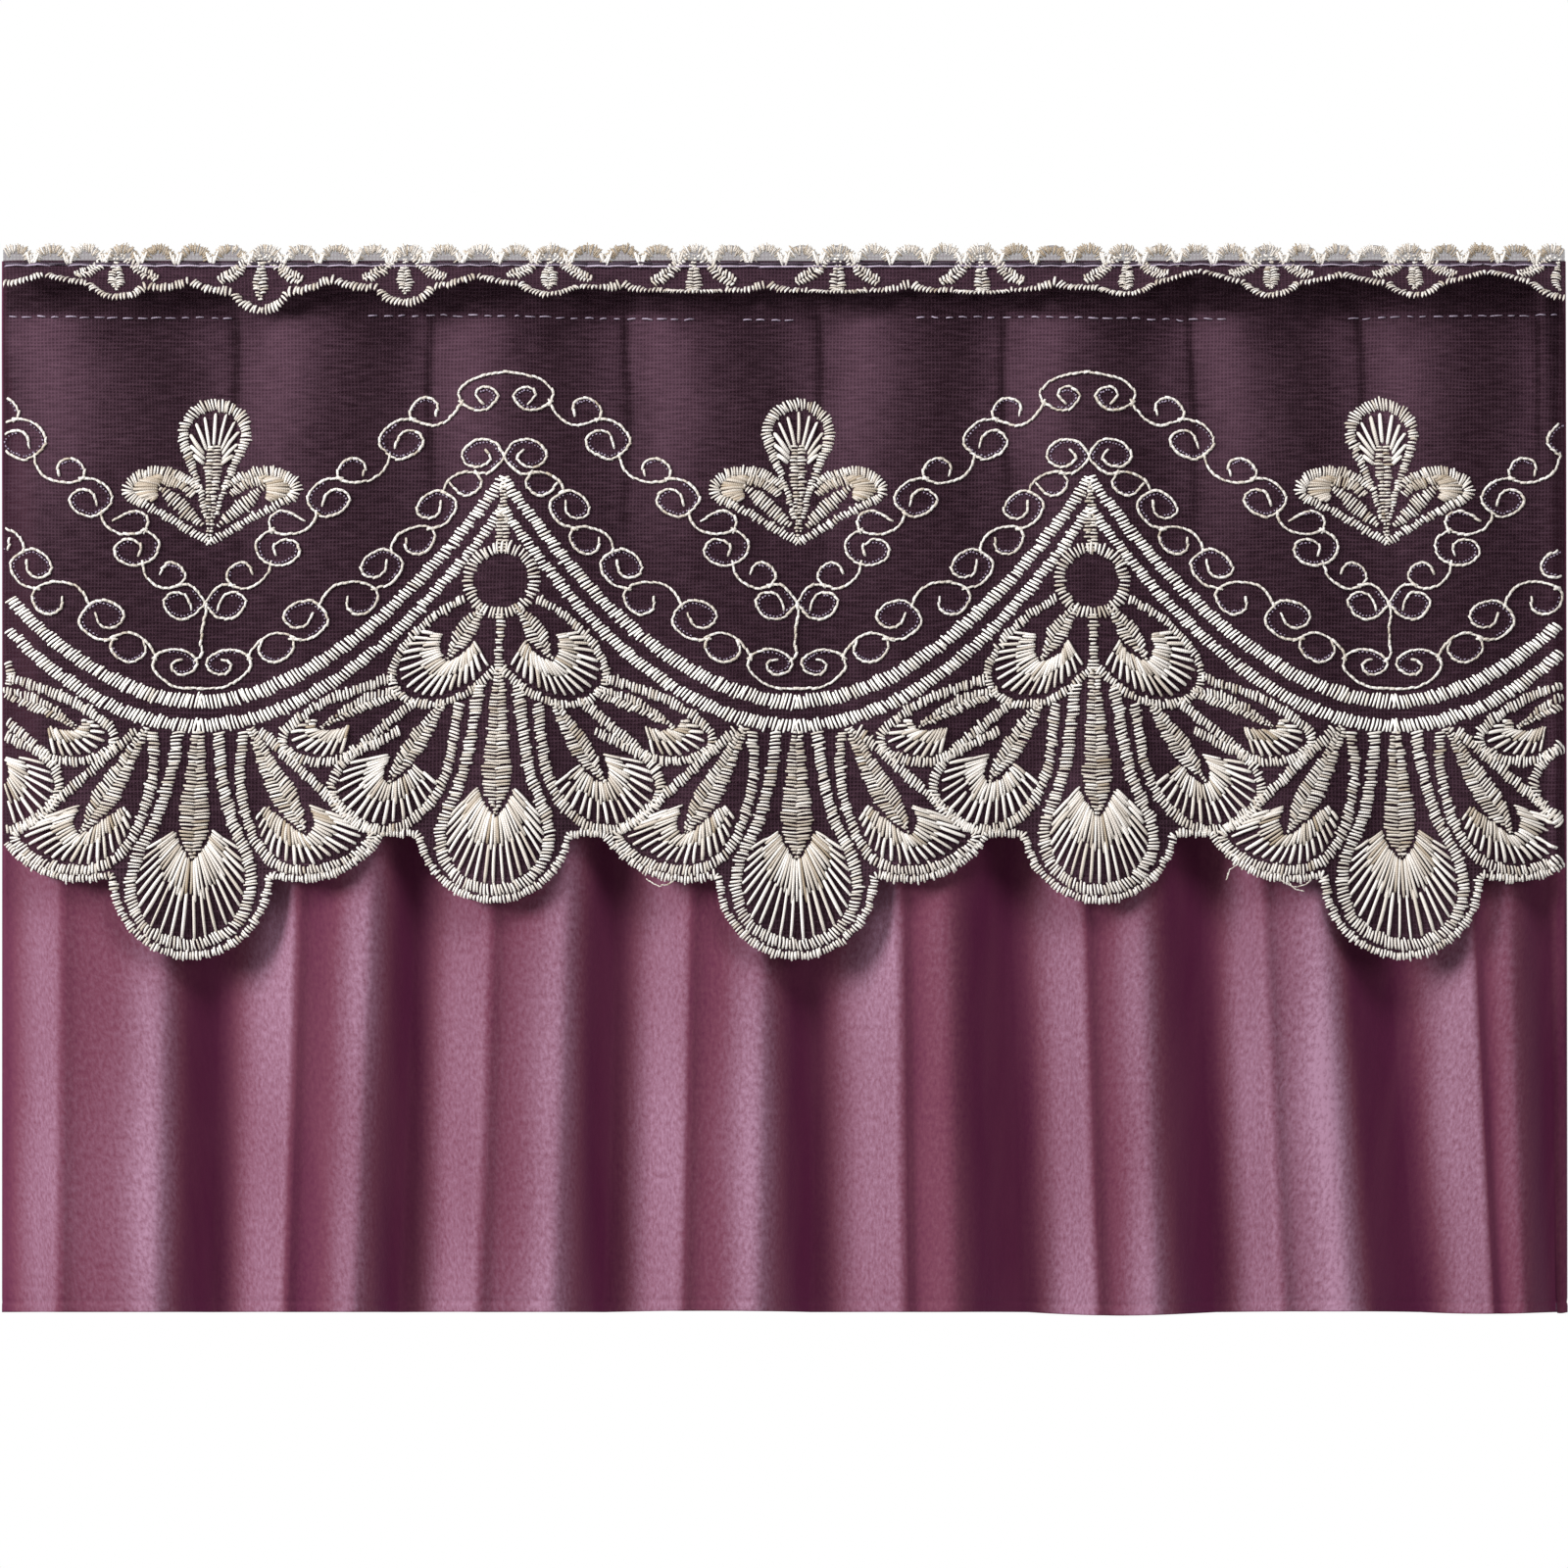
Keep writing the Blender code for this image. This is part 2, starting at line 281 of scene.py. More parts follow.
def overlay_hem(x):
    from_middle = (x - HEM_MIDDLE) / HEM_REPEAT
    off = abs(from_middle - np.round(from_middle)) * HEM_REPEAT
    lowest = np.full(np.shape(x), HEM_LINE)
    for lobe in LOBES:
        bottom = arc_bottom(off - lobe.across, lobe.radius, lobe.centre, HEM_LINE)
        lowest = np.minimum(lowest, bottom)
    return lowest


def frill_top(x):
    share = x / TIP_PITCH - np.floor(x / TIP_PITCH) - 0.5
    half = 0.5 * TIP_PITCH
    radius = (half * half + TIP_HEIGHT * TIP_HEIGHT) / (2.0 * TIP_HEIGHT)
    return np.sqrt(np.clip(radius * radius - (share * TIP_PITCH) ** 2, 0.0, None)) - radius


def frill_length(x):
    from_middle = (x - FRILL_MIDDLE) / FRILL_REPEAT
    off = abs(from_middle - np.round(from_middle)) * FRILL_REPEAT
    longest = np.zeros(np.shape(x))
    for arc in FRILL_ARCS:
        bottom = arc_bottom(off - arc.across, arc.radius, 0.0, 0.0)
        reach = np.where(bottom < 0.0, arc.lowest - arc.radius - bottom, 0.0)
        longest = np.maximum(longest, reach)
    return longest


def frill_angles(x):
    stops = column_of("x", FLARES)
    index = np.clip(np.searchsorted(stops, x) - 1, 0, len(FLARES) - 2)
    share = ease((x - stops[index]) / (stops[index + 1] - stops[index]))
    seam, edge = column_of("at_seam", FLARES), column_of("at_edge", FLARES)
    at_seam = mix(seam[index], seam[index + 1], share)
    at_edge = mix(edge[index], edge[index + 1], share)
    return np.radians(at_seam), np.radians(at_edge)


def stacked(x, y, z):
    return np.stack([x, y, z], axis=-1)


def drawn_in(x, z, out):
    """Cloth that stands out is drawn towards the middle, so it shows in its place from the front."""
    share = 1.0 - DRAW_IN * out
    return x * share, EYE_LEVEL + (z - EYE_LEVEL) * share


def skirt_place(column, fall):
    """Middle surface of the skirt."""
    index, across = fold_of(column)
    left, right = valleys_at(index, fall)
    depth = skirt_depth(index, across, fall)
    x = mix(left, right, across)
    from_side = (HALF_WIDTH - abs(x)) / HALF_WIDTH
    lean = FOLD_LEAN * depth * ease(from_side / SIDE_ZONE)
    longer = column_of("longer")[index]
    z = mix(HEADING_TOP, SKIRT_HEM - HEM_DROP - longer * np.sin(np.pi * across), fall)
    x, z = drawn_in(x - lean, z, depth)
    return stacked(x, -(0.5 * SKIRT_THICK + depth), z)


def net_pucker(x, z, free):
    """Small uneven sags of the net between its stitches, a fraction of a millimetre deep."""
    slow = np.sin(61.0 * x + 19.0 * z) * np.sin(83.0 * z - 23.0 * x + 1.3)
    quick = np.sin(173.0 * x - 97.0 * z + 0.7) * np.sin(131.0 * z + 41.0 * x)
    return free * (0.00045 * slow + 0.00022 * quick)


def overlay_out(x, z):
    """How far the middle of the net stands in front of the hanging plane."""
    fall = fall_at(z)
    index, across = folds_at(x, fall)
    free = ease((HEADING_TOP - z) / (HEADING_TOP - FREE_FROM))
    sunk = 1.0 - NET_SINK * (0.5 + 0.5 * np.cos(2.0 * np.pi * across))
    over_ridges = ridge_depth(index, across, fall) * sunk + BILLOW * billow_shape(across, fall)
    depth = mix(skirt_depth(index, across, fall), over_ridges, free)
    room = 0.5 * OVERLAY_THICK + SKIRT_THICK + mix(SEWN_GAP, HANG_GAP, free)
    return depth + room + net_pucker(x, z, free)


def overlay_place(x, z):
    out = overlay_out(x, z)
    return stacked(drawn_in(x, z, out)[0], -out, z)


def frill_place(x, down):
    """Middle surface of the frill: down is measured along it from the seam, negative above."""
    front = TUCK_HEIGHT + SKIRT_THICK + OVERLAY_THICK + 2.0 * SEWN_GAP + 0.5 * FRILL_THICK
    at_seam, at_edge = frill_angles(x)
    run = np.maximum(down, 0.0)
    sunk, out = np.zeros(np.shape(x)), np.zeros(np.shape(x))
    for step in range(CURL_STEPS):
        reached = run * (step + 0.5) / CURL_STEPS
        angle = mix(at_seam, at_edge, ease((reached - CURL_FROM) / CURL_OVER))
        sunk = sunk + np.cos(angle) / CURL_STEPS
        out = out + np.sin(angle) / CURL_STEPS
    out_to = front + run * out
    z = FRILL_SEAM - run * sunk - np.minimum(down, 0.0)
    x, z = drawn_in(x, z, out_to)
    return stacked(x, -out_to, z)


def towards_room(along, down):
    """Unit normals of a sheet, on its room side."""
    normal = np.cross(along, down)
    normal *= np.where(normal[..., 1:2] > 0.0, -1.0, 1.0)
    return normal / np.linalg.norm(normal, axis=-1, keepdims=True)


def surface_with_normal(place, u, v, step=0.0003):
    """Points of a sheet and its normals towards the room."""
    along = place(u + step, v) - place(u - step, v)
    down = place(u, v + step) - place(u, v - step)
    return place(u, v), towards_room(along, down)


# Meshes --------------------


def add_object(name, data):
    made = bpy.data.objects.new(name, data)
    bpy.context.scene.collection.objects.link(made)
    return made


def make_object(name, points, faces, uv, material, tone):
    """A piece from grids of points, with a UV in metres and a tone at each point."""
    points = np.asarray(points, dtype=np.float32).reshape(-1, 3)
    mesh = bpy.data.meshes.new(name)
    mesh.vertices.add(len(points))
    mesh.vertices.foreach_set("co", points.ravel())
    mesh.loops.add(faces.size)
    mesh.loops.foreach_set("vertex_index", faces.astype(np.int32).ravel())
    mesh.polygons.add(len(faces))
    mesh.polygons.foreach_set("loop_start", np.arange(0, faces.size, faces.shape[1], dtype=np.int32))
    mesh.update(calc_edges=True)
    corners = np.asarray(uv, dtype=np.float32).reshape(-1, 2)[faces.ravel()]
    mesh.uv_layers.new(name="cloth").data.foreach_set("uv", corners.ravel())
    tones = mesh.attributes.new("tone", "FLOAT", "POINT")
    tones.data.foreach_set("value", np.asarray(tone, dtype=np.float32).ravel())
    mesh.shade_smooth()
    mesh.materials.append(material)
    made = add_object(name, mesh)
    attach(made, "root")
    return made


def grid_faces(rows, columns, offset=0):
    corner = np.arange(rows * columns).reshape(rows, columns) + offset
    quads = [corner[:-1, :-1], corner[1:, :-1], corner[1:, 1:], corner[:-1, 1:]]
    return np.stack([quad.ravel() for quad in quads], axis=-1)


def run_lengths(points, axis):
    """Lengths from the first point, along the rows of a grid (axis 1) or down it or a line (0)."""
    steps = np.linalg.norm(np.diff(points, axis=axis), axis=-1)
    return np.cumsum(np.insert(steps, 0, 0.0, axis=axis), axis=axis)


def cloth_lengths(points):
    """UV in metres: length along each row from the middle of the sheet, and down the columns."""
    along = run_lengths(points, 1)
    return np.stack([along - 0.5 * along[:, -1:], -run_lengths(points, 0)], axis=-1)


# Materials --------------------


def add_node(tree, kind, inputs=None, **settings):
    made = tree.nodes.new("ShaderNode" + kind)
    for key, value in settings.items():
        setattr(made, key, value)
    for key, value in (inputs or {}).items():
        if isinstance(value, bpy.types.NodeSocket):
            tree.links.new(value, made.inputs[key])
        else:
            made.inputs[key].default_value = value
    return made


def result(tree, kind, inputs=None, **settings):
    return add_node(tree, kind, inputs, **settings).outputs[0]


def maths(tree, operation, first, second=0.0, third=0.0):
    return result(tree, "Math", {0: first, 1: second, 2: third}, operation=operation)


def scaled(tree, value, by, plus=0.0):
    return maths(tree, "MULTIPLY_ADD", value, by, plus)


def clamped(tree, value, low=0.0, high=1.0):
    return result(tree, "Clamp", {0: value, 1: low, 2: high})


def blend_colours(tree, share, dark, light):
    return add_node(tree, "Mix", {0: share, 6: dark, 7: light}, data_type="RGBA").outputs[2]


def noise(tree, where, scale, detail=2.0, roughness=0.5):
    inputs = {"Vector": where, "Scale": scale, "Detail": detail, "Roughness": roughness}
    return result(tree, "TexNoise", inputs)


def cloth_place(tree, stretch=(1.0, 1.0, 1.0)):
    return result(tree, "Mapping", {"Vector": result(tree, "UVMap", uv_map="cloth"), "Scale": stretch})


def painted_tone(tree):
    return add_node(tree, "Attribute", attribute_name="tone").outputs["Fac"]


def start_material(name, roughness, **sockets):
    material = bpy.data.materials.new(name)
    material.use_nodes = True
    tree = material.node_tree
    shader = tree.nodes["Principled BSDF"]
    shader.inputs["Roughness"].default_value = roughness
    for key, value in sockets.items():
        shader.inputs[key.replace("_", " ")].default_value = value
    return material, tree, shader


def dress(tree, shader, height, strength, distance, **values):
    """Links these values to the shader, and a bump of this height."""
    bump = {"Strength": strength, "Distance": distance, "Height": height}
    values["Normal"] = result(tree, "Bump", bump)
    for key, value in values.items():
        tree.links.new(value, shader.inputs[key.replace("_", " ")])


# Colours of the pile: its painted shade deep in a fold, its flat middle tone, and its painted lilac
# highlight (bloom). The second is reached at the turn.
PLUSH = ((0.068, 0.0080, 0.033, 1.0), (0.115, 0.031, 0.055, 1.0), (0.265, 0.145, 0.212, 1.0))
PLUSH_TURN = 0.22


def plush_material():
    """Short plum pile: brushed patches, a fuzzy grain, and on its folds the painted light and shade kept
    in its tone: a lilac painted highlight and dark painted shade.
    """
    material, tree, shader = start_material(
        "plum_plush",
        0.62,
        Sheen_Weight=0.12,
        Sheen_Roughness=0.45,
        Sheen_Tint=(1.0, 0.60, 0.85, 1.0),
        Specular_IOR_Level=0.08,
    )
    grain = noise(tree, cloth_place(tree, (1.0, 0.6, 1.0)), 780.0, 3.0, 0.65)
    brushed = noise(tree, cloth_place(tree, (1.0, 0.16, 1.0)), 60.0, 3.0, 0.55)
    fuzzy = maths(tree, "MULTIPLY", painted_tone(tree), scaled(tree, grain, 2.1, -0.05))
    share = clamped(tree, maths(tree, "ADD", fuzzy, scaled(tree, brushed, 0.24, -0.12)))
    to_flat = result(tree, "MapRange", {0: share, 2: PLUSH_TURN})
    to_painted_highlight = result(tree, "MapRange", {0: share, 1: PLUSH_TURN})
    colour = blend_colours(tree, to_painted_highlight, blend_colours(tree, to_flat, *PLUSH[:2]), PLUSH[2])
    rough = result(tree, "MapRange", {0: grain, 3: 0.5, 4: 0.78})
    dress(tree, shader, grain, 0.4, 0.0005, Base_Color=colour, Roughness=rough)
    return material


TURN = 2.0 * np.pi
WEAVE_PITCH = 0.0012  # one mesh of the net
WEAVE_STRAY = 0.0016  # how far its threads wander


def net_material(name, thread_dark, thread_light, hold, mesh_depth):
    """Sheer net: its threads hide more than its meshes do. hold is about the share hidden."""
    material, tree, shader = start_material(name, 0.75, Specular_IOR_Level=0.05)
    where = cloth_place(tree)
    uneven = noise(tree, where, 55.0, 2.0)
    waves = []
    for axis in (0, 1):
        straight = add_node(tree, "SeparateXYZ", {0: where}).outputs[axis]
        wavy = scaled(tree, uneven, WEAVE_STRAY, straight)
        waves.append(maths(tree, "SINE", maths(tree, "MULTIPLY", wavy, TURN / WEAVE_PITCH)))
    mesh = maths(tree, "MAXIMUM", waves[0], maths(tree, "MULTIPLY", waves[1], 0.8))
    slub = noise(tree, cloth_place(tree, (1.0, 6.0, 1.0)), 160.0, 3.0, 0.6)
    shine = scaled(tree, mesh, 0.15, painted_tone(tree))
    shine = clamped(tree, maths(tree, "ADD", shine, scaled(tree, slub, 0.7, -0.35)))
    colour = blend_colours(tree, shine, thread_dark, thread_light)
    alpha = scaled(tree, mesh, mesh_depth, hold)
    alpha = scaled(tree, maths(tree, "SUBTRACT", slub, 0.5), 0.25, alpha)
    dress(tree, shader, mesh, 0.4, 0.0003, Base_Color=colour, Alpha=clamped(tree, alpha, 0.05, 0.96))
    return material


PLY_TURN = 9000.0  # the thread's twist, in radians a metre


def thread_material(name, light, shade, roughness=0.42):
    """Plied rayon thread: a twist along it and stitches that differ in tone."""
    material, tree, shader = start_material(name, roughness, Specular_IOR_Level=0.5)
    where = cloth_place(tree)
    along, around, _ = add_node(tree, "SeparateXYZ", {0: where}).outputs
    twist = maths(tree, "SINE", scaled(tree, along, PLY_TURN, maths(tree, "MULTIPLY", around, TURN)))
    fleck = scaled(tree, noise(tree, where, 700.0, 2.0), 0.4, -0.2)
    share = clamped(tree, maths(tree, "ADD", painted_tone(tree), fleck))
    dress(tree, shader, twist, 0.35, 0.0001, Base_Color=blend_colours(tree, share, light, shade))
    return material


# Cloths --------------------


SKIRT_STEPS = 44  # columns to a fold
SKIRT_ROWS = 76
NET_STEP = 0.0013
NET_ROWS = 62
FRILL_STEP = 0.0008
FRILL_TONE = 0.3
HEM_FOLD = 0.0034  # height of the skirt's turned hem
HEM_GROOVE = 0.00022  # depth of the groove at its top; below it the cloth is half as much thicker
HEM_ROWS = (0.2, 0.6, 0.8, 1.0, 1.2, 1.6)  # closer rows there, in heights of the hem


def shell_faces(rows, columns):
    front = grid_faces(rows, columns)
    back = grid_faces(rows, columns, rows * columns)[:, ::-1]
    place = np.arange(rows * columns).reshape(rows, columns)
    rim = np.concatenate([place[0, :-1], place[:-1, -1], place[-1, :0:-1], place[:0:-1, 0]])
    after = np.roll(rim, -1)
    deep = rows * columns
    edge = np.stack([rim, after, after + deep, rim + deep], axis=-1)
    return np.concatenate([front, back, edge])


def make_skirt(material):
    columns = np.linspace(0.0, len(FOLDS), SKIRT_STEPS * len(FOLDS) + 1)
    last = SKIRT_STEPS * (len(FOLDS) - 1)
    columns = np.append(columns[:last], np.linspace(columns[last], columns[-1], SKIRT_STEPS // 4))
    hem_rows = 1.0 - np.array(HEM_ROWS) * HEM_FOLD / (HEADING_TOP - SKIRT_HEM)
    rows = np.sort(np.append(np.linspace(0.0, 1.0, SKIRT_ROWS), hem_rows))
    column, fall = np.meshgrid(columns, rows)
    middle = skirt_place(column, fall)
    normal = towards_room(np.gradient(middle, axis=1), np.gradient(middle, axis=0))
    above = (middle[..., 2] - middle[-1:, :, 2]) / HEM_FOLD
    groove = HEM_GROOVE * (0.5 * (above < 0.9) - hump(above, 1.0, 0.22))
    front = middle + normal * (0.5 * SKIRT_THICK + groove)[..., None]
    points = np.stack([front, middle - normal * (0.5 * SKIRT_THICK)])
    uv = np.stack([cloth_lengths(middle)] * 2)
    tone = np.stack([skirt_painted_light(column, fall)] * 2)
    skirt = make_object("skirt_plush", points, shell_faces(*middle.shape[:2]), uv, material, tone)
    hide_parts("skirt")
    return skirt


def skirt_painted_light(column, fall):
    """Tone of the pile, mostly painted light and shade: pale painted highlights on flanks and shoulders,
    a mid tone on the flat faces, painted shade on the falls and in the valleys, and the net's painted
    shade above its hem. The pile's nap, stroked up on flanks and shoulders and down on falls, is a small
    part of it.
    """
    index, across = fold_of(column)
    row = {name: column_of(name)[index] for name in Fold._fields}
    crease, shoulder = row["crease"], row["shoulder"] + SHOULDER_LATER
    past = across - crease
    # Painted highlight on the flank up to the crease, painted mid tone on the face, painted highlight on
    # the shoulder
    flank = (0.08 + 0.98 * ease(across / (FLANK_RISE * crease))) * (1.0 - ease(past / FLANK_END + 0.5))
    face = ease(past / FACE_START + 0.5) * (1.0 - ease((across - shoulder) / FACE_END))
    face = face * (0.8 + 0.4 * np.clip(past / (shoulder - crease), 0.0, 1.0))
    ridge = hump(across, shoulder - 0.02, SHOULDER_BLOOM)
    # Slow changes in the strength of the painted light down each fold
    patchy = 1.0 + 0.12 * np.sin(9.0 * fall + 2.1 * index) + 0.08 * np.sin(23.0 * fall - 1.7 * index)
    painted_bloom = row["flank_tone"] * flank + row["face_tone"] * face + row["shoulder_tone"] * ridge
    painted_bloom = patchy * painted_bloom
    # Painted shade of the net: the painted highlights are weaker just under its hem
    place = skirt_place(column, fall)
    clear_of_net_shade = passed(overlay_hem(place[..., 0]) - place[..., 2], BLOOM_FROM, BLOOM_OVER)
    return 0.02 + mix(0.05 + HIGHLIGHT_IN_NET_SHADE * painted_bloom, painted_bloom, clear_of_net_shade)


def net_grid(step, rows):
    columns = np.linspace(-HALF_WIDTH, HALF_WIDTH, round(2.0 * HALF_WIDTH / step) + 1)
    return np.meshgrid(columns, rows)


def make_overlay(material):
    x, share = net_grid(NET_STEP, np.linspace(0.0, 1.0, NET_ROWS))
    z = mix(HEADING_TOP, overlay_hem(x), share)
    uv = np.stack([x, z], axis=-1)
    faces = grid_faces(*x.shape)
    overlay = make_object("overlay_net", overlay_place(x, z), faces, uv, material, net_painted_light(x, z))
    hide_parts("overlay")
    return overlay


# The net's painted light and shade: middle and width, as shares across a fold (the tuck's painted
# shadow line, from the tuck itself)
SWELL = (0.20, 0.19)
NEXT_SWELL = (0.93, 0.08)
HOLLOW = (0.68, 0.14)
OVER_RIDGE = (0.36, 0.16)
TUCK_LINE = (0.0, 0.022)
# Start and length down the fall. Above the first the net is dark: partly doubled net, partly
# painted shadow under the frill.
DOUBLED_SHADED_BAND_END = (0.047, 0.012)
SWELL_FADE = (0.07, 0.28)
TUCK_FADE = (0.10, 0.25)
RIDGE_FROM = (0.30, 0.30)


def net_painted_light(x, z):
    """Painted light and shade on the net: a painted highlight where it swells beside a tuck, painted
    shade in the hollow and a painted shadow along the tuck, paler painted patches where it passes over a
    lit ridge of the plush, and a dark heading band, partly doubled net and partly painted shadow.
    """
    fall = fall_at(z)
    index, across = folds_at(x, fall)
    tuck = index + np.round(across)
    beside = across - np.round(across) + 0.010 * np.sin(33.0 * fall + 2.0 * tuck) - 0.05 * fall
    across = across + 0.035 * np.sin(31.0 * fall + 2.0 * index)
    across = across + 0.012 * np.sin(97.0 * fall - 3.0 * index)
    fading = 1.0 - passed(fall, *SWELL_FADE)
    swollen = (index < len(FOLDS) - 1) * (hump(across, *SWELL) + 0.3 * hump(across, *NEXT_SWELL))
    patches = fading * (0.40 * swollen - 0.10 * hump(across, *HOLLOW))
    patches = patches - 0.3 * hump(beside, *TUCK_LINE) * (1.0 - passed(fall, *TUCK_FADE))
    patches = patches + 0.14 * hump(across, *OVER_RIDGE) * passed(fall, *RIDGE_FROM)
    return mix(0.03, mix(0.07, 0.13, fading) + patches, passed(fall, *DOUBLED_SHADED_BAND_END))


def make_frill(material):
    rows = np.concatenate([np.linspace(-1.0, 0.0, 5)[:-1], np.linspace(0.0, 1.0, 13)])
    x, row = net_grid(FRILL_STEP, rows)
    down = np.where(row < 0.0, row * (frill_top(x) - FRILL_SEAM), row * frill_length(x))
    uv = np.stack([x, -down], axis=-1)
    tone = np.full(x.shape, FRILL_TONE)
    frill = make_object("frill_net", frill_place(x, down), grid_faces(*x.shape), uv, material, tone)
    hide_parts("frill")
    return frill


# Stitches --------------------
# A stitch is a row: start across and down, end across and down (grid units), how wide it is, how
# far it bows sideways, how high it lies over the others (metres), and its tone.

ACROSS, WIDE, BOW, LIFT, TONE = [0, 2], 4, 5, 6, 7
PITCH = 3.6  # from one satin stitch to the next
THREAD = 2.45  # width of a satin stitch's thread
FLATNESS = 0.62  # a thread's height for its width
ARCH = 0.00022  # how high a stitch arches (metres), and this much more for its length (grid units)
ARCH_FOR_LENGTH = 0.03
ARCH_MOST = 0.9
SIDES = 5
# How wide a thread is along its stitch, and how high it rises
Station = namedtuple("Station", "share wide rise")
SHORT = (
    Station(0.00, 0.20, -0.6),
    Station(0.10, 0.85, 0.45),
    Station(0.50, 1.00, 1.0),
    Station(0.90, 0.85, 0.45),
    Station(1.00, 0.20, -0.6),
)
LONG = (
    Station(0.00, 0.20, -0.6),
    Station(0.05, 0.80, 0.5),
    Station(0.25, 1.00, 0.9),
    Station(0.50, 1.00, 1.0),
    Station(0.75, 1.00, 0.9),
    Station(0.95, 0.80, 0.5),
    Station(1.00, 0.20, -0.6),
)


def turned(way):
    """The direction a quarter turn from this one."""
    return np.stack([-way[..., 1], way[..., 0]], axis=-1)


def unit(way):
    return way / np.maximum(np.linalg.norm(way, axis=-1, keepdims=True), 1e-6)


def stitches(start, end, wide=THREAD, lift=0.0, tone=0.2, loose=0.32, ragged=0.9):
    """Stitches between these places. Their ends stray by loose, and along themselves by ragged."""
    start, end = np.asarray(start, float), np.asarray(end, float)
    count, way = len(start), unit(end - start)

    def strayed(place):
        place = place + CHANCE.normal(0.0, loose, place.shape)
        return place + way * CHANCE.normal(0.0, ragged, (count, 1))

    start, end = strayed(start), strayed(end)
    across, down = start.T
    patch = np.sin(across * 0.043 + down * 0.031) * np.sin(across * 0.019 - down * 0.057)
    columns = [
        start,
        end,
        wide * CHANCE.uniform(0.78, 1.18, count),
        CHANCE.normal(0.0, 0.35, count),
        lift + CHANCE.uniform(0.0, 0.00012, count),
        tone + 0.22 * np.clip(patch, 0.0, 1.0) + CHANCE.normal(0.0, 0.18, count),
    ]
    return np.column_stack(columns)


def smooth(points, steps=10):
    """A smooth line through these points."""
    points = np.asarray(points, float)
    ends = np.concatenate([[2 * points[0] - points[1]], points, [2 * points[-1] - points[-2]]])
    share = np.linspace(0.0, 1.0, steps, endpoint=False)[:, None]
    runs = []
    for a, b, c, d in zip(ends, ends[1:], ends[2:], ends[3:]):
        square, cube = share * share, share * share * share
        run = 2 * b + (c - a) * share + (2 * a - 5 * b + 4 * c - d) * square
        runs.append(0.5 * (run + (3 * b - a - 3 * c + d) * cube))
    return np.concatenate([*runs, points[-1:]])


def spaced(path, pitch=None, count=None):
    """Evenly spaced places on a line, the way it runs there, and the share of its length."""
    path = np.asarray(path, float)
    length = run_lengths(path, 0)
    whole = length[-1]
    at = np.linspace(0.0, whole, count or max(round(whole / pitch), 1) + 1)
    reach = 0.5 * min(4.0, whole / 4)

    def place(along):
        return np.stack([np.interp(along, length, path[:, axis]) for axis in (0, 1)], axis=-1)

    way = place(np.minimum(at + reach, whole)) - place(np.maximum(at - reach, 0.0))
    return place(at), unit(way), at / whole


def between(first, second, count):
    """As many places along each of two lines."""
    return spaced(smooth(first), count=count)[0], spaced(smooth(second), count=count)[0]


def widths_at(share, widths):
    widths = np.atleast_1d(widths)
    return np.interp(share, np.linspace(0.0, 1.0, len(widths)), widths)


def satin(path, widths, lean=0.18, pitch=PITCH, **look):
    """Satin stitch across a line."""
    places, way, share = spaced(path, pitch)
    half = 0.5 * widths_at(share, widths)[:, None] * (turned(way) + lean * way)
    return stitches(places - half, places + half, **look)


def plumed(path, widths, sweep=0.30, **look):
    """A leaf or column of two rows of satin stitch that meet on its middle line."""
    places, way, share = spaced(path, PITCH)
    half = 0.5 * widths_at(share, widths)[:, None]
    sides = []
    for side in (-1.0, 1.0):
        out = half * (side * turned(way) - sweep * way)
        sides.append(stitches(places - 0.12 * out, places + out, **look))
    return np.concatenate(sides)


def fan(roots, tips, count):
    """Threads that spread from a leaf's tip: packed close at first, then apart as far as the loop."""
    packed, apart = round(1.15 * count), round(0.76 * count)
    starts, ends = between(roots, tips, packed)
    middle = mix(starts, ends, 0.52 + CHANCE.uniform(-0.07, 0.07, (packed, 1)))
    inner = stitches(starts, middle, wide=2.9, tone=0.32, lift=0.0001)
    inner[:, TONE] += CHANCE.normal(0.0, 0.2, packed)
    starts, ends = between(roots, tips, apart)
    middle = mix(starts, ends, 0.42 + CHANCE.uniform(-0.06, 0.06, (apart, 1)))
    outer = stitches(middle, mix(middle, ends, 1.06), wide=3.5, tone=0.16)
    return np.concatenate([inner, outer])


def rope(path, wide=2.8, step=6.2, reach=8.6, tone=0.22):
    """Stem stitch: short stitches that overlap along a line, each a little askew."""
    places, way, _ = spaced(path, step)
    across = turned(way)
    start = places - 0.5 * reach * way - 0.4 * across
    end = places + 0.5 * reach * way + 0.4 * across
    return stitches(start, end, wide=wide, tone=tone, loose=0.12, ragged=0.2)


def both_sides(points):
    """The whole of a line that is drawn for the right half and ends on the middle line."""
    points = np.asarray(points, float)
    return np.concatenate([points * (-1.0, 1.0), points[-2::-1]])


def mirrored(rows):
    twin = rows.copy()
    twin[:, [*ACROSS, BOW]] *= -1.0
    return twin


def pair(make):
    """A motif and its mirror twin, each sewn afresh."""
    return np.concatenate([turn(make()) for turn in (np.copy, mirrored)])


def repeated(make, centres, spread=SPREAD):
    """Sews a motif afresh at each centre line, and keeps the stitches that lie on the cloth."""
    made = []
    for centre in centres:
        rows = make()
        for at in ACROSS:
            wider = 1.0 + spread * (rows[:, at + 1] - SPREAD_FROM)
            rows[:, at] += SPREAD_MIDDLE + (centre - SPREAD_MIDDLE) * wider
        made.append(rows)
    rows = np.concatenate(made)
    places = rows[:, ACROSS]
    return rows[(places.min(axis=1) > SEWN_FROM) & (places.max(axis=1) < SEWN_TO)]


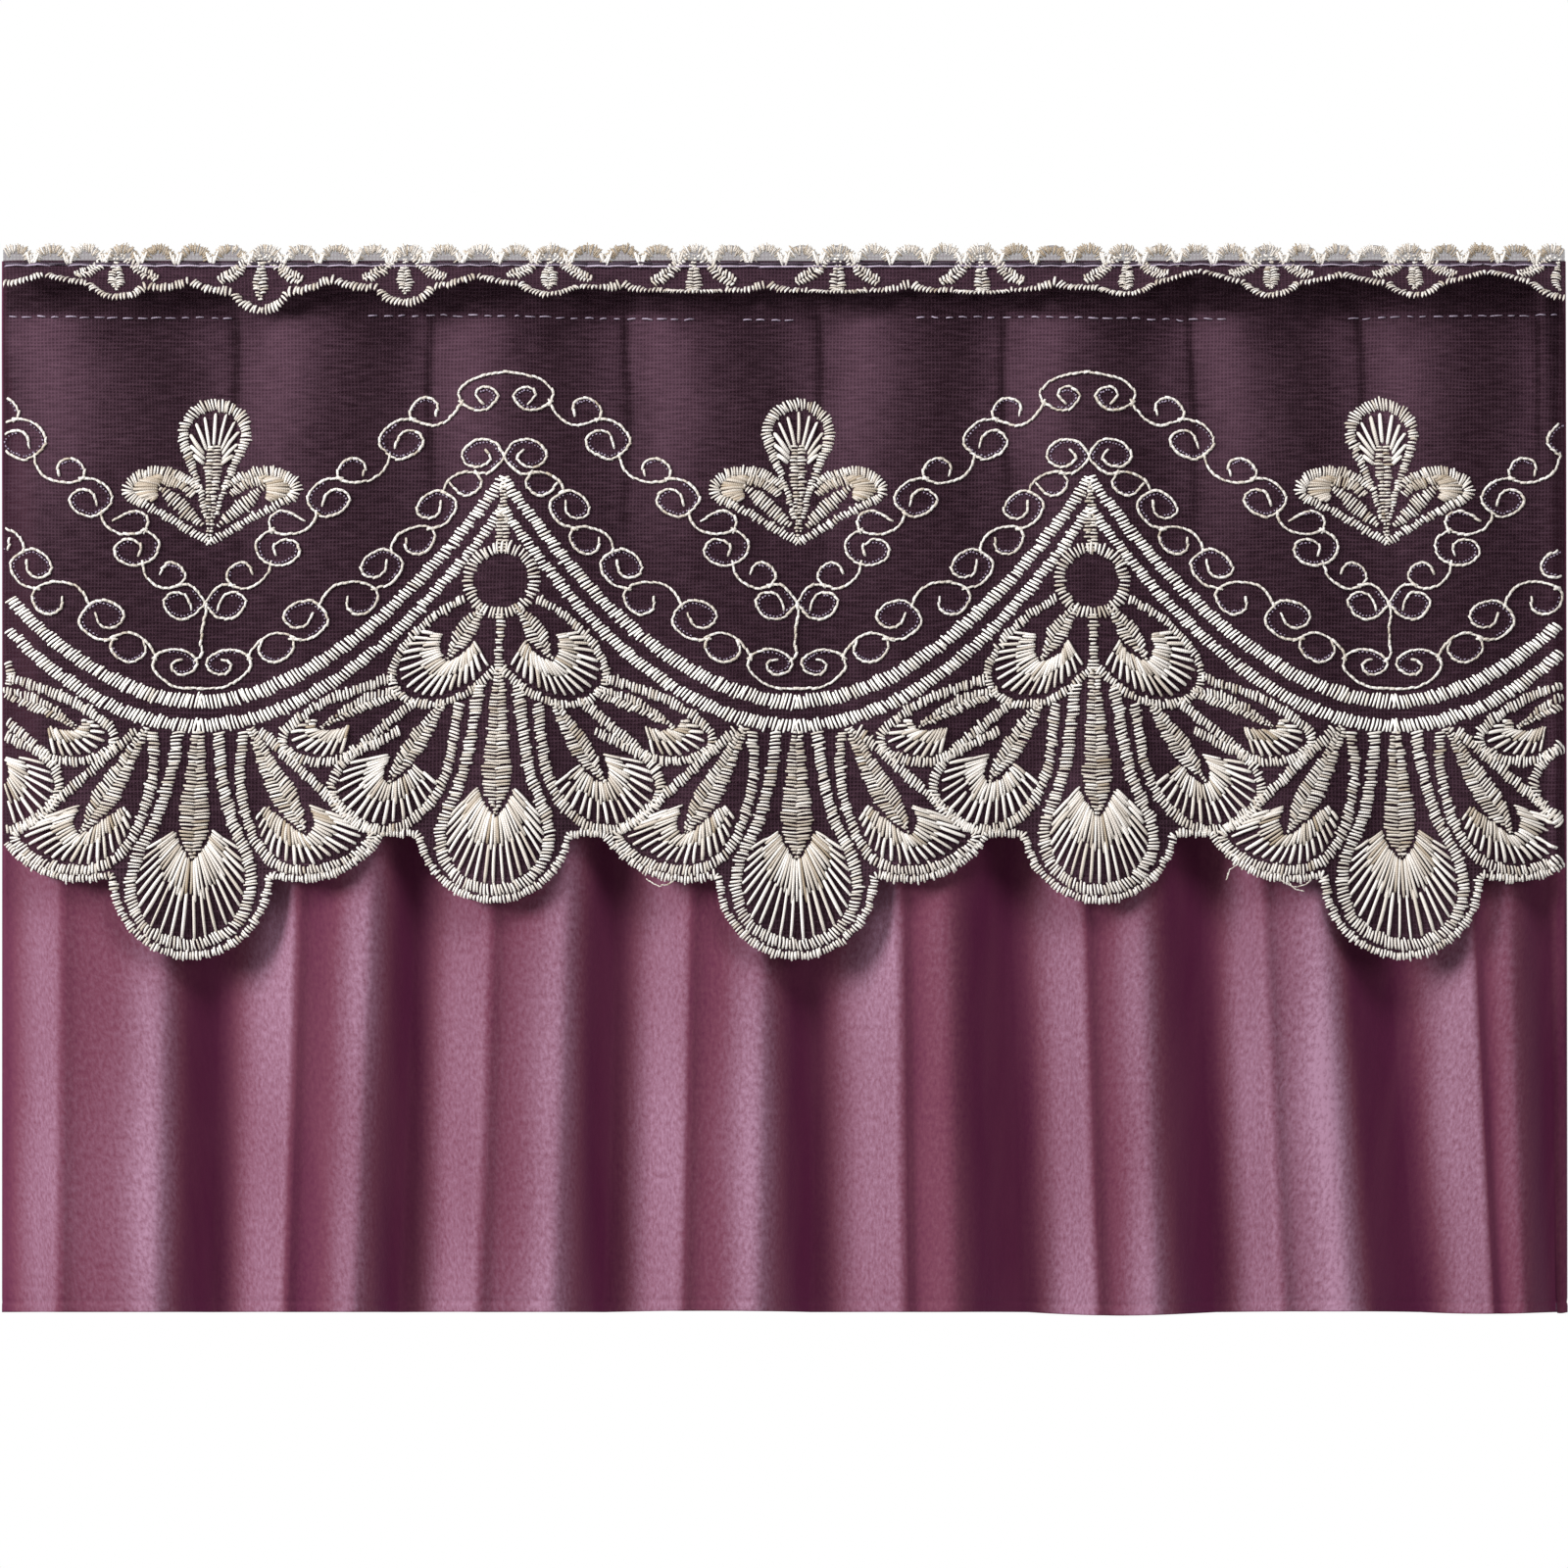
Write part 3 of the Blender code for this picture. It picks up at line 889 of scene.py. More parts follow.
def sew(name, rows, lay, material, stations=SHORT):
    """Makes the threads of these stitches, laid on a cloth by lay(across, down)."""
    share, wide, rise = (column_of(field, stations) for field in Station._fields)
    start = rows[:, None, 0:2]
    run = rows[:, None, 2:4] - start
    length = np.linalg.norm(run, axis=-1)
    side = turned(unit(run))
    bow = 4.0 * rows[:, BOW, None] * share * (1.0 - share)
    line = start + run * share[None, :, None] + side * bow[..., None]
    half = 0.5 * rows[:, WIDE, None] * wide
    angle = TURN * (np.arange(SIDES) + 0.5) / SIDES
    ring = line[:, :, None] + side[:, :, None] * (half[..., None] * np.cos(angle))[..., None]
    tall = GRID * FLATNESS * half[..., None] * np.sin(angle)
    arch = ARCH + GRID * np.minimum(ARCH_FOR_LENGTH * length, ARCH_MOST)
    centre = rows[:, LIFT, None] + rise * (arch + 0.5 * GRID * FLATNESS * rows[:, WIDE, None])
    points, normals = lay(ring[..., 0], ring[..., 1])
    points = points + normals * (tall + centre[..., None])[..., None]
    corner = np.arange(tall.size).reshape(tall.shape)
    after = np.roll(corner, -1, axis=2)
    quads = [corner[:, :-1], corner[:, 1:], after[:, 1:], after[:, :-1]]
    faces = np.stack([quad.ravel() for quad in quads], axis=-1)
    along = np.broadcast_to((GRID * length * share)[..., None], tall.shape)
    around = np.broadcast_to(np.arange(SIDES) / SIDES, tall.shape)
    tone = np.broadcast_to(rows[:, TONE, None, None], tall.shape)
    made = make_object(name, points, faces, np.stack([along, around], axis=-1), material, tone)
    return made


# Where the grid lies on each cloth --------------------


def cloth_x(across):
    return np.clip(GRID * (across - GRID_MIDDLE), -HALF_WIDTH, HALF_WIDTH)


def cloth_z(down):
    return -GRID * (down - GRID_TOP)


def on_overlay(across, down):
    x, z = cloth_x(across), cloth_z(down)
    return surface_with_normal(overlay_place, x, drawn_in(x, z, overlay_out(x, z))[1])


def on_overlay_hem(across, down):
    """For the hem's own stitches, whose rows are already heights on the cloth."""
    return surface_with_normal(overlay_place, cloth_x(across), cloth_z(down))


def on_frill(across, down):
    """Down is measured from the frill's seam."""
    return surface_with_normal(frill_place, cloth_x(across), GRID * down)


# Motifs: places are across from the motif's centre line and down the grid --------------------


BAND_REACH = 298.75
# Row at the lowest place, rise to the peak, curve, widths from there to the peak
UPPER_BAND = (716.0, 228.0, 1.92, (15.5, 15.0, 13.5, 12.5, 12.0))
LOWER_BAND = (740.5, 221.0, 2.00, (14.5, 14.0, 12.5, 11.5, 10.5))


def band(lowest, rise, curve, wide):
    across = np.linspace(0.0, BAND_REACH, 90)
    path = np.stack([across, lowest - rise * (across / BAND_REACH) ** curve], axis=-1)
    halves = [satin(path, wide, lean=0.22, pitch=3.9, wide=2.6, tone=0.0) for _ in range(2)]
    return np.concatenate([halves[0], mirrored(halves[1])])


def bands():
    return np.concatenate([band(*UPPER_BAND), band(*LOWER_BAND)])


def ring(centre, radius, wide):
    angle = np.linspace(0.0, TURN, 49)
    path = np.stack([radius * np.sin(angle), centre - radius * np.cos(angle)], axis=-1)
    return satin(path, wide, lean=0.0, pitch=4.1, lift=0.0002, tone=0.25)


Shell = namedtuple("Shell", "loop wide leaf leaf_widths roots tips threads")
PEAK_SIDE_SHELLS = (
    Shell(  # just under the ring
        loop=((38, 611), (52, 619), (67, 629), (87, 647), (102, 667), (109, 685), (106, 702), (91, 715),
              (68, 719), (44, 713), (21, 699), (5, 683)),
        wide=8.5,
        leaf=((18, 620), (34, 642), (53, 672)),
        leaf_widths=(8, 12, 17, 22, 21, 12, 4),
        roots=((27, 653), (35, 666), (53, 674), (60, 663), (58, 648)),
        tips=((12, 679), (24, 690), (44, 703), (67, 709), (88, 704), (99, 690), (100, 672), (92, 655),
              (80, 645)),
        threads=24,
    ),
    Shell(  # at the side of the big shell
        loop=((40, 719), (45, 755), (51, 787), (64, 815), (80, 833), (98, 844), (118, 847), (140, 842),
              (157, 829), (167, 811), (166, 794), (157, 778), (135, 757), (110, 736), (86, 717)),
        wide=10.5,
        leaf=((57, 718), (80, 754), (110, 797)),
        leaf_widths=(7, 14, 20, 23, 16, 3),
        roots=((86, 780), (96, 792), (111, 799), (115, 787), (108, 770)),
        tips=((60, 800), (70, 818), (92, 835), (118, 840), (142, 834), (158, 816), (159, 796),
              (150, 779)),
        threads=23,
    ),
    Shell(  # narrow, bent along the band
        loop=((110, 692), (135, 700), (160, 709), (185, 721), (205, 735), (218, 747), (219, 760),
              (205, 772), (186, 777), (165, 776), (145, 768), (122, 757), (101, 746)),
        wide=10.0,
        leaf=((101, 706), (125, 713), (152, 725), (180, 742)),
        leaf_widths=(9, 15, 17, 15, 10, 3),
        roots=((152, 741), (168, 745), (182, 744), (186, 736)),
        tips=((160, 768), (180, 771), (200, 765), (211, 755), (208, 745), (196, 736)),
        threads=13,
    ),
)
VALLEY_SIDE_SHELLS = (
    Shell(
        loop=((46, 748), (44, 775), (46, 802), (53, 832), (63, 857), (77, 875), (97, 886), (120, 888),
              (145, 883), (167, 872), (183, 853), (164, 836), (131, 808), (92, 772), (64, 746)),
        wide=10.5,
        leaf=((54, 744), (78, 790), (114, 849)),
        leaf_widths=(9, 13, 18, 24, 28, 21, 3),
        roots=((74, 822), (92, 836), (114, 852), (122, 838), (117, 822)),
        tips=((64, 836), (72, 858), (88, 874), (108, 881), (132, 878), (155, 868), (171, 853),
              (152, 834)),
        threads=25,
    ),
)
# On the centre line, drawn for the right half. The leaf is a straight column.
PEAK_SHELL = Shell(
    loop=((20, 700), (26, 745), (33, 785), (44, 815), (54, 840), (55, 862), (46, 886), (27, 902),
          (0, 908)),
    wide=12.0,
    leaf=((0, 684), (0, 830)),
    leaf_widths=(10, 14, 18, 22, 26, 31, 27, 4),
    roots=((18, 804), (10, 821), (0, 832)),
    tips=((45, 832), (49, 855), (43, 879), (25, 895), (0, 901)),
    threads=27,
)
VALLEY_SHELL = Shell(
    loop=((21, 748), (24, 775), (30, 808), (40, 840), (54, 868), (61, 893), (60, 918), (49, 942),
          (27, 958), (0, 964)),
    wide=12.0,
    leaf=((0, 748), (0, 875)),
    leaf_widths=(12, 16, 20, 25, 30, 33, 28, 4),
    roots=((19, 848), (10, 866), (0, 877)),
    tips=((46, 866), (54, 893), (52, 919), (41, 941), (20, 954), (0, 957)),
    threads=29,
)
PEAK_RING = (592.0, 33.6, 12.0)  # row of its centre, radius, width
PEAK_STEM = ((0, 627), (0, 682))
PEAK_BUD = ((0, 494), (0, 562))


def sewn_shell(shell, line=np.asarray, sweep=0.30, leaf_tone=0.28, rim_tone=0.20):
    """A looped border round a leaf whose tip spreads in threads."""
    parts = [
        fan(line(shell.roots), line(shell.tips), shell.threads),
        plumed(smooth(shell.leaf), shell.leaf_widths, sweep=sweep, tone=leaf_tone),
        satin(smooth(line(shell.loop)), shell.wide, tone=rim_tone, lift=0.00015),
    ]
    return np.concatenate(parts)


def big_shell(shell):
    return sewn_shell(shell, both_sides, sweep=0.10, leaf_tone=0.42, rim_tone=0.14)


def peak_middle():
    parts = [
        big_shell(PEAK_SHELL),
        ring(*PEAK_RING),
        satin(PEAK_STEM, (9, 9, 10), lean=0.0, tone=0.2),
        plumed(PEAK_BUD, (4, 8, 11, 14, 14, 11), sweep=0.0, tone=0.45),
    ]
    return np.concatenate(parts)


def shell_pairs(shells):
    return np.concatenate([pair(lambda: sewn_shell(shell)) for shell in shells])


def side_shells():
    return shell_pairs(PEAK_SIDE_SHELLS)


def valley_motif():
    return np.concatenate([big_shell(VALLEY_SHELL), shell_pairs(VALLEY_SIDE_SHELLS)])


TREFOIL_TOP = ((0, 413), (16, 417), (28, 428), (32, 443), (28, 459), (22, 474), (16, 489), (10, 507),
               (5, 528))
TREFOIL_ROOTS = ((-9, 474), (-8, 462), (0, 455), (8, 462), (9, 474))
TREFOIL_TIPS = ((-21, 464), (-26, 449), (-22, 433), (-12, 423), (0, 420), (12, 423), (22, 433),
                (26, 449), (21, 464))
TREFOIL_PETAL = ((13, 499), (24, 490), (38, 484), (56, 481), (73, 485), (84, 493), (86, 502), (80, 509),
                 (68, 514))
PETAL_WIDTHS = (5, 9, 11, 12, 12, 13, 12, 11, 9)
TREFOIL_LINING = ((20, 504), (34, 494), (50, 490))
TREFOIL_FOOT = ((68, 515), (48, 525), (26, 538), (9, 548), (0, 553))
TREFOIL_LEAF = ((54, 496), (43, 506), (29, 518), (9, 536))
LEAF_END = ((48, 489), (54, 496), (55, 507))
PETAL_INSIDE = ((58, 485), (70, 487), (79, 493), (81, 501), (75, 507), (64, 512))
TREFOIL_SHIFT = 1.5  # it stands this far right of the valley's centre line


def petal():
    """A side petal of the trefoil: a close rim and lining round a leaf with the net about it."""
    parts = [
        stitches(*between(LEAF_END, PETAL_INSIDE, 15), wide=3.4, tone=0.6),
        satin(smooth(TREFOIL_LINING), (8, 12, 12), pitch=2.8, tone=0.5),
        satin(smooth(TREFOIL_PETAL), PETAL_WIDTHS, pitch=3.0, tone=0.2, lift=0.0001),
        satin(smooth(TREFOIL_FOOT), 8.5, tone=0.05),
        satin(smooth(TREFOIL_LEAF), (3, 12, 16, 16, 12, 6), lean=0.0, tone=0.3, lift=0.0002),
    ]
    return np.concatenate(parts)


def trefoil():
    top = smooth(both_sides(TREFOIL_TOP[::-1]))
    parts = [
        stitches(*between(TREFOIL_ROOTS, TREFOIL_TIPS, 11), wide=4.0, tone=0.1),
        satin(top, (5, 7, 10, 12, 13, 12, 10, 7, 5), pitch=3.2, tone=0.2, lift=0.0001),
        plumed(((0, 456), (0, 546)), (14, 18, 15, 12, 9, 6), sweep=0.0, tone=0.42, lift=0.0001),
        pair(petal),
    ]
    rows = np.concatenate(parts)
    rows[:, ACROSS] += TREFOIL_SHIFT
    return rows


# Scrolls: one link of the chain, drawn from its joint at (0, 0) to the next joint
SCROLL_STEP = (72.7, 61.0)
CURL_STEADINESS = 0.6
SCROLL_HOOK = ((0, 0), (2.5, -4), (2.6, -10), (-2, -18), (-8.5, -22.8), (-16.5, -24.8), (-25, -22),
               (-29.8, -15.5), (-28.5, -8))
SCROLL_CURL = ((0, 0), (11.5, 1), (19, 4), (26, 9.5), (31, 16), (33, 22.5), (30.6, 29), (25, 34.8),
               (19, 39), (12, 41), (3, 38.6), (-4, 34.8), (-9, 29.5), (-12, 23), (-9, 16.3), (-3, 12.6),
               (3, 11.8), (9.5, 14), (13.4, 18.5), (16, 26))
SCROLL_LINK = ((22.5, 38), (24.8, 46), (28.7, 53), (35, 59), (45, 63.2), (55.5, 65), (65.7, 64),
               (72.7, 61))
UPPER_JOINTS = ((95, 428), (167.5, 488.5), (234.5, 541))
UPPER_TOP = ((45.4, 411), (48, 403), (46, 397), (35, 387.5), (17, 382), (0, 380))
UPPER_CURL = ((45, 411), (38, 415.5), (30, 418.5), (20, 418), (12.5, 412), (8.2, 404.5), (12.5, 398.2),
              (20, 395), (27, 397), (30, 403), (25, 410))
UPPER_LINK = ((45, 411), (51, 421), (60, 430), (72, 434.5), (84, 432), (95, 428))
LOWER_JOINTS = ((212, 652), (129.5, 600.5), (73.4, 539.5), (27.4, 483))
LOWER_END = ((27.4, 483), (18, 483.4), (11.6, 479.5), (5, 473.7), (0.3, 467), (4, 458.7), (9, 452),
             (18, 448.8), (29, 449.6), (38, 455.4), (42.7, 463), (40.6, 470.4), (32.4, 476.2),
             (23.4, 476), (15.7, 471.2), (14, 466.2), (17.5, 461))
LOWER_HOOK = ((27.4, 483), (25.5, 486.5), (22.8, 492), (24.9, 498.5), (30.7, 503.5), (39, 505.5),
              (47, 502), (52.8, 495))
LOWER_LINK = ((-97, 653), (-84, 647), (-72.5, 646.6), (-60, 653), (-51, 663), (-47.7, 670.4))
LOWER_BOWL = ((-47.7, 670.4), (-49.8, 677.2), (-48.5, 683.3), (-40.8, 691.9), (-30.5, 698.8),
              (-19.3, 702.2), (0, 702.8))
LOWER_CURL = ((-47.7, 670.4), (-41.6, 666), (-31.3, 663), (-21, 663.9), (-11.5, 667.8), (-5.5, 673.8),
              (-5.5, 679.8), (-9.8, 685), (-17.6, 688.4), (-25.3, 687.4), (-30, 681), (-28, 675.5),
              (-23, 673.6))
# Where the upper chain closes on the valley's middle line
VALLEY_SCROLLS = (
    ((-64.1, 541), (-62, 532.4), (-65.6, 525.2), (-75.6, 521.6), (-85.7, 524.5), (-95, 530.2)),
    ((-64.1, 541), (-55.5, 546.7), (-49.8, 555.3), (-52.7, 566.8), (-61.3, 574), (-75.6, 576.9),
     (-90, 571), (-94.3, 561), (-88.5, 552.5), (-77, 551), (-68.4, 556.8), (-69.2, 564)),
    ((-26.8, 597), (-21.8, 589.8), (-23.3, 582.6), (-28.3, 576.9), (-36.9, 574), (-44, 578.3),
     (-46.2, 583)),
    ((-26.8, 597), (-16.7, 596.8), (-9, 602.4), (-4.6, 608.4), (-0.3, 615.3), (-4.6, 621.3),
     (-11.5, 628.2), (-20, 631.6), (-28.7, 630.8), (-36.5, 625.6), (-42, 614.4), (-37.3, 607.5),
     (-29.6, 604.5), (-21, 606.7), (-15.8, 614.4), (-14, 619.6)),
)
VALLEY_JOIN = ((-65.6, 575.5), (-62.7, 585.5), (-57, 592.6), (-48.4, 598.4), (-38.3, 600.5),
               (-26.8, 597))
STALK = ((1.4, 618.7), (1.4, 628), (-1.2, 640), (-1.2, 649), (-2, 657.5), (-0.6, 663), (-1.2, 669),
         (-5, 673))


def placed(line, at, turn):
    """A line turned and scaled by a complex number, and moved to its place."""
    points = [complex(*at) + turn * complex(*point) for point in line]
    return tuple((point.real, point.imag) for point in points)


def scroll_chain(joints, hook_size):
    """Links and curls between these joints. A link is turned and scaled to its step; hooks and
    curls turn with it but vary less in size."""
    links, curls = [], []
    for here, after in zip(joints, joints[1:]):
        step = (complex(*after) - complex(*here)) / complex(*SCROLL_STEP)
        steadier = step / abs(step) ** CURL_STEADINESS
        on_curl = placed(SCROLL_LINK[:1], here, steadier)
        links.append(on_curl + placed(SCROLL_LINK[1:], here, step))
        curls += [placed(SCROLL_HOOK, here, steadier * hook_size), placed(SCROLL_CURL, here, steadier)]
    return links, curls


UPPER_LINKS, UPPER_CURLS = scroll_chain(UPPER_JOINTS, 0.88)
LOWER_LINKS, LOWER_CURLS = scroll_chain(LOWER_JOINTS, 1.04)
PEAK_LINKS = (*UPPER_LINKS, *LOWER_LINKS, UPPER_TOP, UPPER_LINK)
PEAK_CURLS = (*UPPER_CURLS, *LOWER_CURLS, UPPER_CURL, LOWER_END, LOWER_HOOK)
VALLEY_LINKS = (LOWER_LINK, LOWER_BOWL, VALLEY_JOIN)
VALLEY_CURLS = (LOWER_CURL, *VALLEY_SCROLLS)


def sew_lines(stitch, peak_lines, valley_lines):
    """The same stitch along all these lines and their mirror twins, at each peak and valley."""
    parts = []
    for lines, centres in ((peak_lines, PEAKS), (valley_lines, VALLEYS)):
        for turn in (np.copy, mirrored):

            def motif():
                return turn(np.concatenate([stitch(line) for line in lines]))

            parts.append(repeated(motif, centres))
    return np.concatenate(parts)


def scrolls():
    peak_lines, valley_lines = PEAK_LINKS + PEAK_CURLS, VALLEY_LINKS + VALLEY_CURLS
    lines = sew_lines(lambda line: rope(smooth(line)), peak_lines, valley_lines)
    return np.concatenate([lines, repeated(lambda: rope(smooth(STALK), wide=3.0), VALLEYS)])


def backing_dots(line):
    """The under thread, which shows as dim dots along a curl's inner side."""
    places, way, share = spaced(smooth(line), 4.6)
    inward = unit(places[len(places) // 3 :].mean(axis=0) - places)
    start = places + 3.3 * inward - 0.9 * way
    kept = (share > 0.12) & (share < 0.86)
    return stitches(start[kept], (start + 1.8 * way)[kept], wide=1.9, tone=0.9, loose=0.3, ragged=0.2)


# Edges and heading --------------------


EDGE_INSET = 0.0004  # the stitches along an edge stop this far from the sides


def edge_path(row_at, steps=2400):
    """A line along a cloth's edge from side to side. row_at gives its rows for these x."""
    x = np.linspace(EDGE_INSET - HALF_WIDTH, HALF_WIDTH - EDGE_INSET, steps)
    return np.stack([x / GRID + GRID_MIDDLE, row_at(x)], axis=-1)


def hem_stitches():
    """Satin stitch along the scalloped hem. Rows are heights on the cloth."""
    path = edge_path(lambda x: GRID_TOP - overlay_hem(x) / GRID, 1600)
    places, way, _ = spaced(path, 1.0)
    places, way, _ = spaced(places - 3.4 * turned(way), 3.3)
    half = 4.2 * turned(way)
    return stitches(places + half, places - half, wide=2.6, tone=0.10, lift=0.0001)


# Thread ends that have come loose under the hem
LOOSE_ENDS = (
    ((1263, 882), (1258, 885), (1254, 890), (1252, 896)),
    ((1306, 897), (1313, 902), (1322, 905), (1331, 903), (1337, 898)),
    ((1315, 900), (1321, 907), (1329, 909)),
    ((661, 898), (670, 903), (681, 903), (688, 898)),
)


def loose_ends():
    ends = [rope(smooth(line), wide=1.3, step=3.2, reach=4.8, tone=0.35) for line in LOOSE_ENDS]
    return np.concatenate(ends)


HEADING_ROW = 325.5
DASH, DASH_PITCH = 9.5, 14.7


def heading_stitches():
    """The running stitch that holds the net's tucks to the skirt."""
    across = np.arange(8.0, 1592.0 - DASH, DASH_PITCH)
    down = HEADING_ROW + 1.6 * np.sin(across * 0.011) - 1.2 * np.sin(across * 0.004 + 1.0)
    start = np.stack([across, down], axis=-1)
    shown = np.sin(across * 0.0127 + 0.6) + 0.5 * np.sin(across * 0.031 + 2.0) > -0.55
    start = start[shown]
    return stitches(start, start + (DASH, 0.0), wide=1.5, tone=0.35, loose=0.5)


# Threads of the V where two small scallops meet: step to the side, and the row it reaches
SCALLOP_V = ((-2, -15.0), (-1, -12.5), (0, -8.0), (1, -12.5), (2, -15.0))


def frill_scallops():
    """Satin stitch round the small scallops, with a brighter V where two meet. Rows are measured
    down from the frill's seam."""
    places, way, _ = spaced(edge_path(lambda x: (FRILL_SEAM - frill_top(x)) / GRID), 1.8)
    inward = turned(way)
    deep = CHANCE.uniform(6.5, 9.5, (len(places), 1))
    rows = stitches(places - 1.4 * inward, places + deep * inward, wide=1.7, tone=0.50, loose=0.6)
    rows[:, TONE] += CHANCE.normal(0.0, 0.2, len(rows))
    across = rows[:, 0]
    # Browner in slow patches along the edge
    patchy = np.sin(across * 0.021 - 2.1) * np.sin(across * 0.0073 + 0.4)
    rows[:, TONE] += 0.8 * np.clip(patchy, 0.0, 1.0)
    pitch = TIP_PITCH / GRID
    tips = np.arange(round(-GRID_MIDDLE / pitch) + 1, round(GRID_MIDDLE / pitch)) * pitch + GRID_MIDDLE
    parts = [rows]
    for step, reach in SCALLOP_V:
        foot = np.stack([tips + 0.6 * step, np.full(len(tips), abs(step) - 2.0)], axis=-1)
        head = np.stack([tips + 3.1 * step, np.full(len(tips), reach)], axis=-1)
        parts.append(stitches(foot, head, wide=2.7, tone=0.0, loose=0.4, lift=0.0002))
    return np.concatenate(parts)


def frill_border():
    places, way, _ = spaced(edge_path(lambda x: frill_length(x) / GRID), 4.1)
    out, lean = turned(way), 0.28 * way
    start, end = places + 1.2 * out - 2.0 * lean, places - 8.0 * out + 6.0 * lean
    return stitches(start, end, wide=2.8, tone=0.30)


FRILL_LEAF = ((0, -10), (0, 12), (0, 36))
FRILL_SIDE_LEAF = ((6, -10), (17, -1), (29, 10), (42, 17))
FRILL_MIDDLES = (FRILL_MIDDLE + FRILL_REPEAT * np.arange(-4, 7)) / GRID + GRID_MIDDLE


def frill_side_leaf():
    return plumed(smooth(FRILL_SIDE_LEAF), (5, 9, 12, 14, 14, 11), tone=0.3, lift=0.0002)


def frill_motif():
    leaf = plumed(smooth(FRILL_LEAF), (4, 7, 11, 15, 18, 15, 4), sweep=0.15, tone=0.25, lift=0.0002)
    return np.concatenate([leaf, pair(frill_side_leaf)])


def seam_cord(row, wide):
    across = np.arange(3.0, 1570.0, 22.0)
    start = np.stack([across, np.full(len(across), row)], axis=-1)
    return stitches(start, start + (27.0, 0.0), wide=wide, tone=0.2, loose=0.1, ragged=0.3)


# Everything together --------------------


def make_threads():
    ivory = thread_material("ivory_thread", (0.67, 0.635, 0.60, 1.0), (0.29, 0.225, 0.155, 1.0))
    # A paler copy of the ivory thread: painted light for the bands, whose threads the lamps leave greyer
    # than the rest
    lit_ivory = thread_material("ivory_thread_painted_lit", (0.86, 0.83, 0.79, 1.0), (0.42, 0.35, 0.27, 1.0))
    lavender = thread_material("lavender_thread", (0.36, 0.30, 0.38, 1.0), (0.22, 0.17, 0.24, 1.0), 0.5)
    dusk = thread_material("dark_thread", (0.035, 0.018, 0.035, 1.0), (0.02, 0.01, 0.02, 1.0), 0.6)
    on_net = [
        sew("thread_bands", repeated(bands, VALLEYS), on_overlay, lit_ivory),
        sew("thread_peaks", repeated(peak_middle, PEAKS), on_overlay, ivory, LONG),
        sew("thread_shells", repeated(side_shells, PEAKS), on_overlay, ivory, LONG),
        sew("thread_valleys", repeated(valley_motif, VALLEYS), on_overlay, ivory, LONG),
        sew("thread_trefoils", repeated(trefoil, VALLEYS), on_overlay, ivory),
        sew("thread_scrolls", scrolls(), on_overlay, ivory),
        sew("thread_backing", sew_lines(backing_dots, PEAK_CURLS, VALLEY_CURLS), on_overlay, lavender),
        sew("thread_hem", hem_stitches(), on_overlay_hem, ivory),
        sew("thread_ends", loose_ends(), on_overlay, ivory),
        sew("thread_heading", heading_stitches(), on_overlay_hem, lavender),
    ]
    on_trim = [
        sew("thread_scallops", frill_scallops(), on_frill, ivory),
        sew("thread_border", frill_border(), on_frill, ivory),
        sew("thread_leaves", repeated(frill_motif, FRILL_MIDDLES, spread=0.0), on_frill, ivory),
        sew("thread_seam", seam_cord(1.0, 2.6), on_frill, lavender),
        sew("thread_seam_dark", seam_cord(-2.2, 2.6), on_frill, dusk),
    ]
    return on_net, on_trim


Lamp = namedtuple("Lamp", "name size power place")
LAMPS = (
    Lamp("key", 0.9, 70.0, (-1.70, -1.05, 0.45)),
    Lamp("top", 0.7, 22.0, (0.25, -1.05, 1.15)),
    Lamp("right", 1.0, 11.0, (1.45, -1.45, 0.35)),
)
AMBIENT = 0.05  # light from all round; the backdrop itself shows white
FLOOR_LEVEL = -0.6
FLOOR_RADIUS = 0.8
CAMERA_AT = -1.467
CAMERA_LENS = 100.0
CAMERA_SENSOR = 36.0


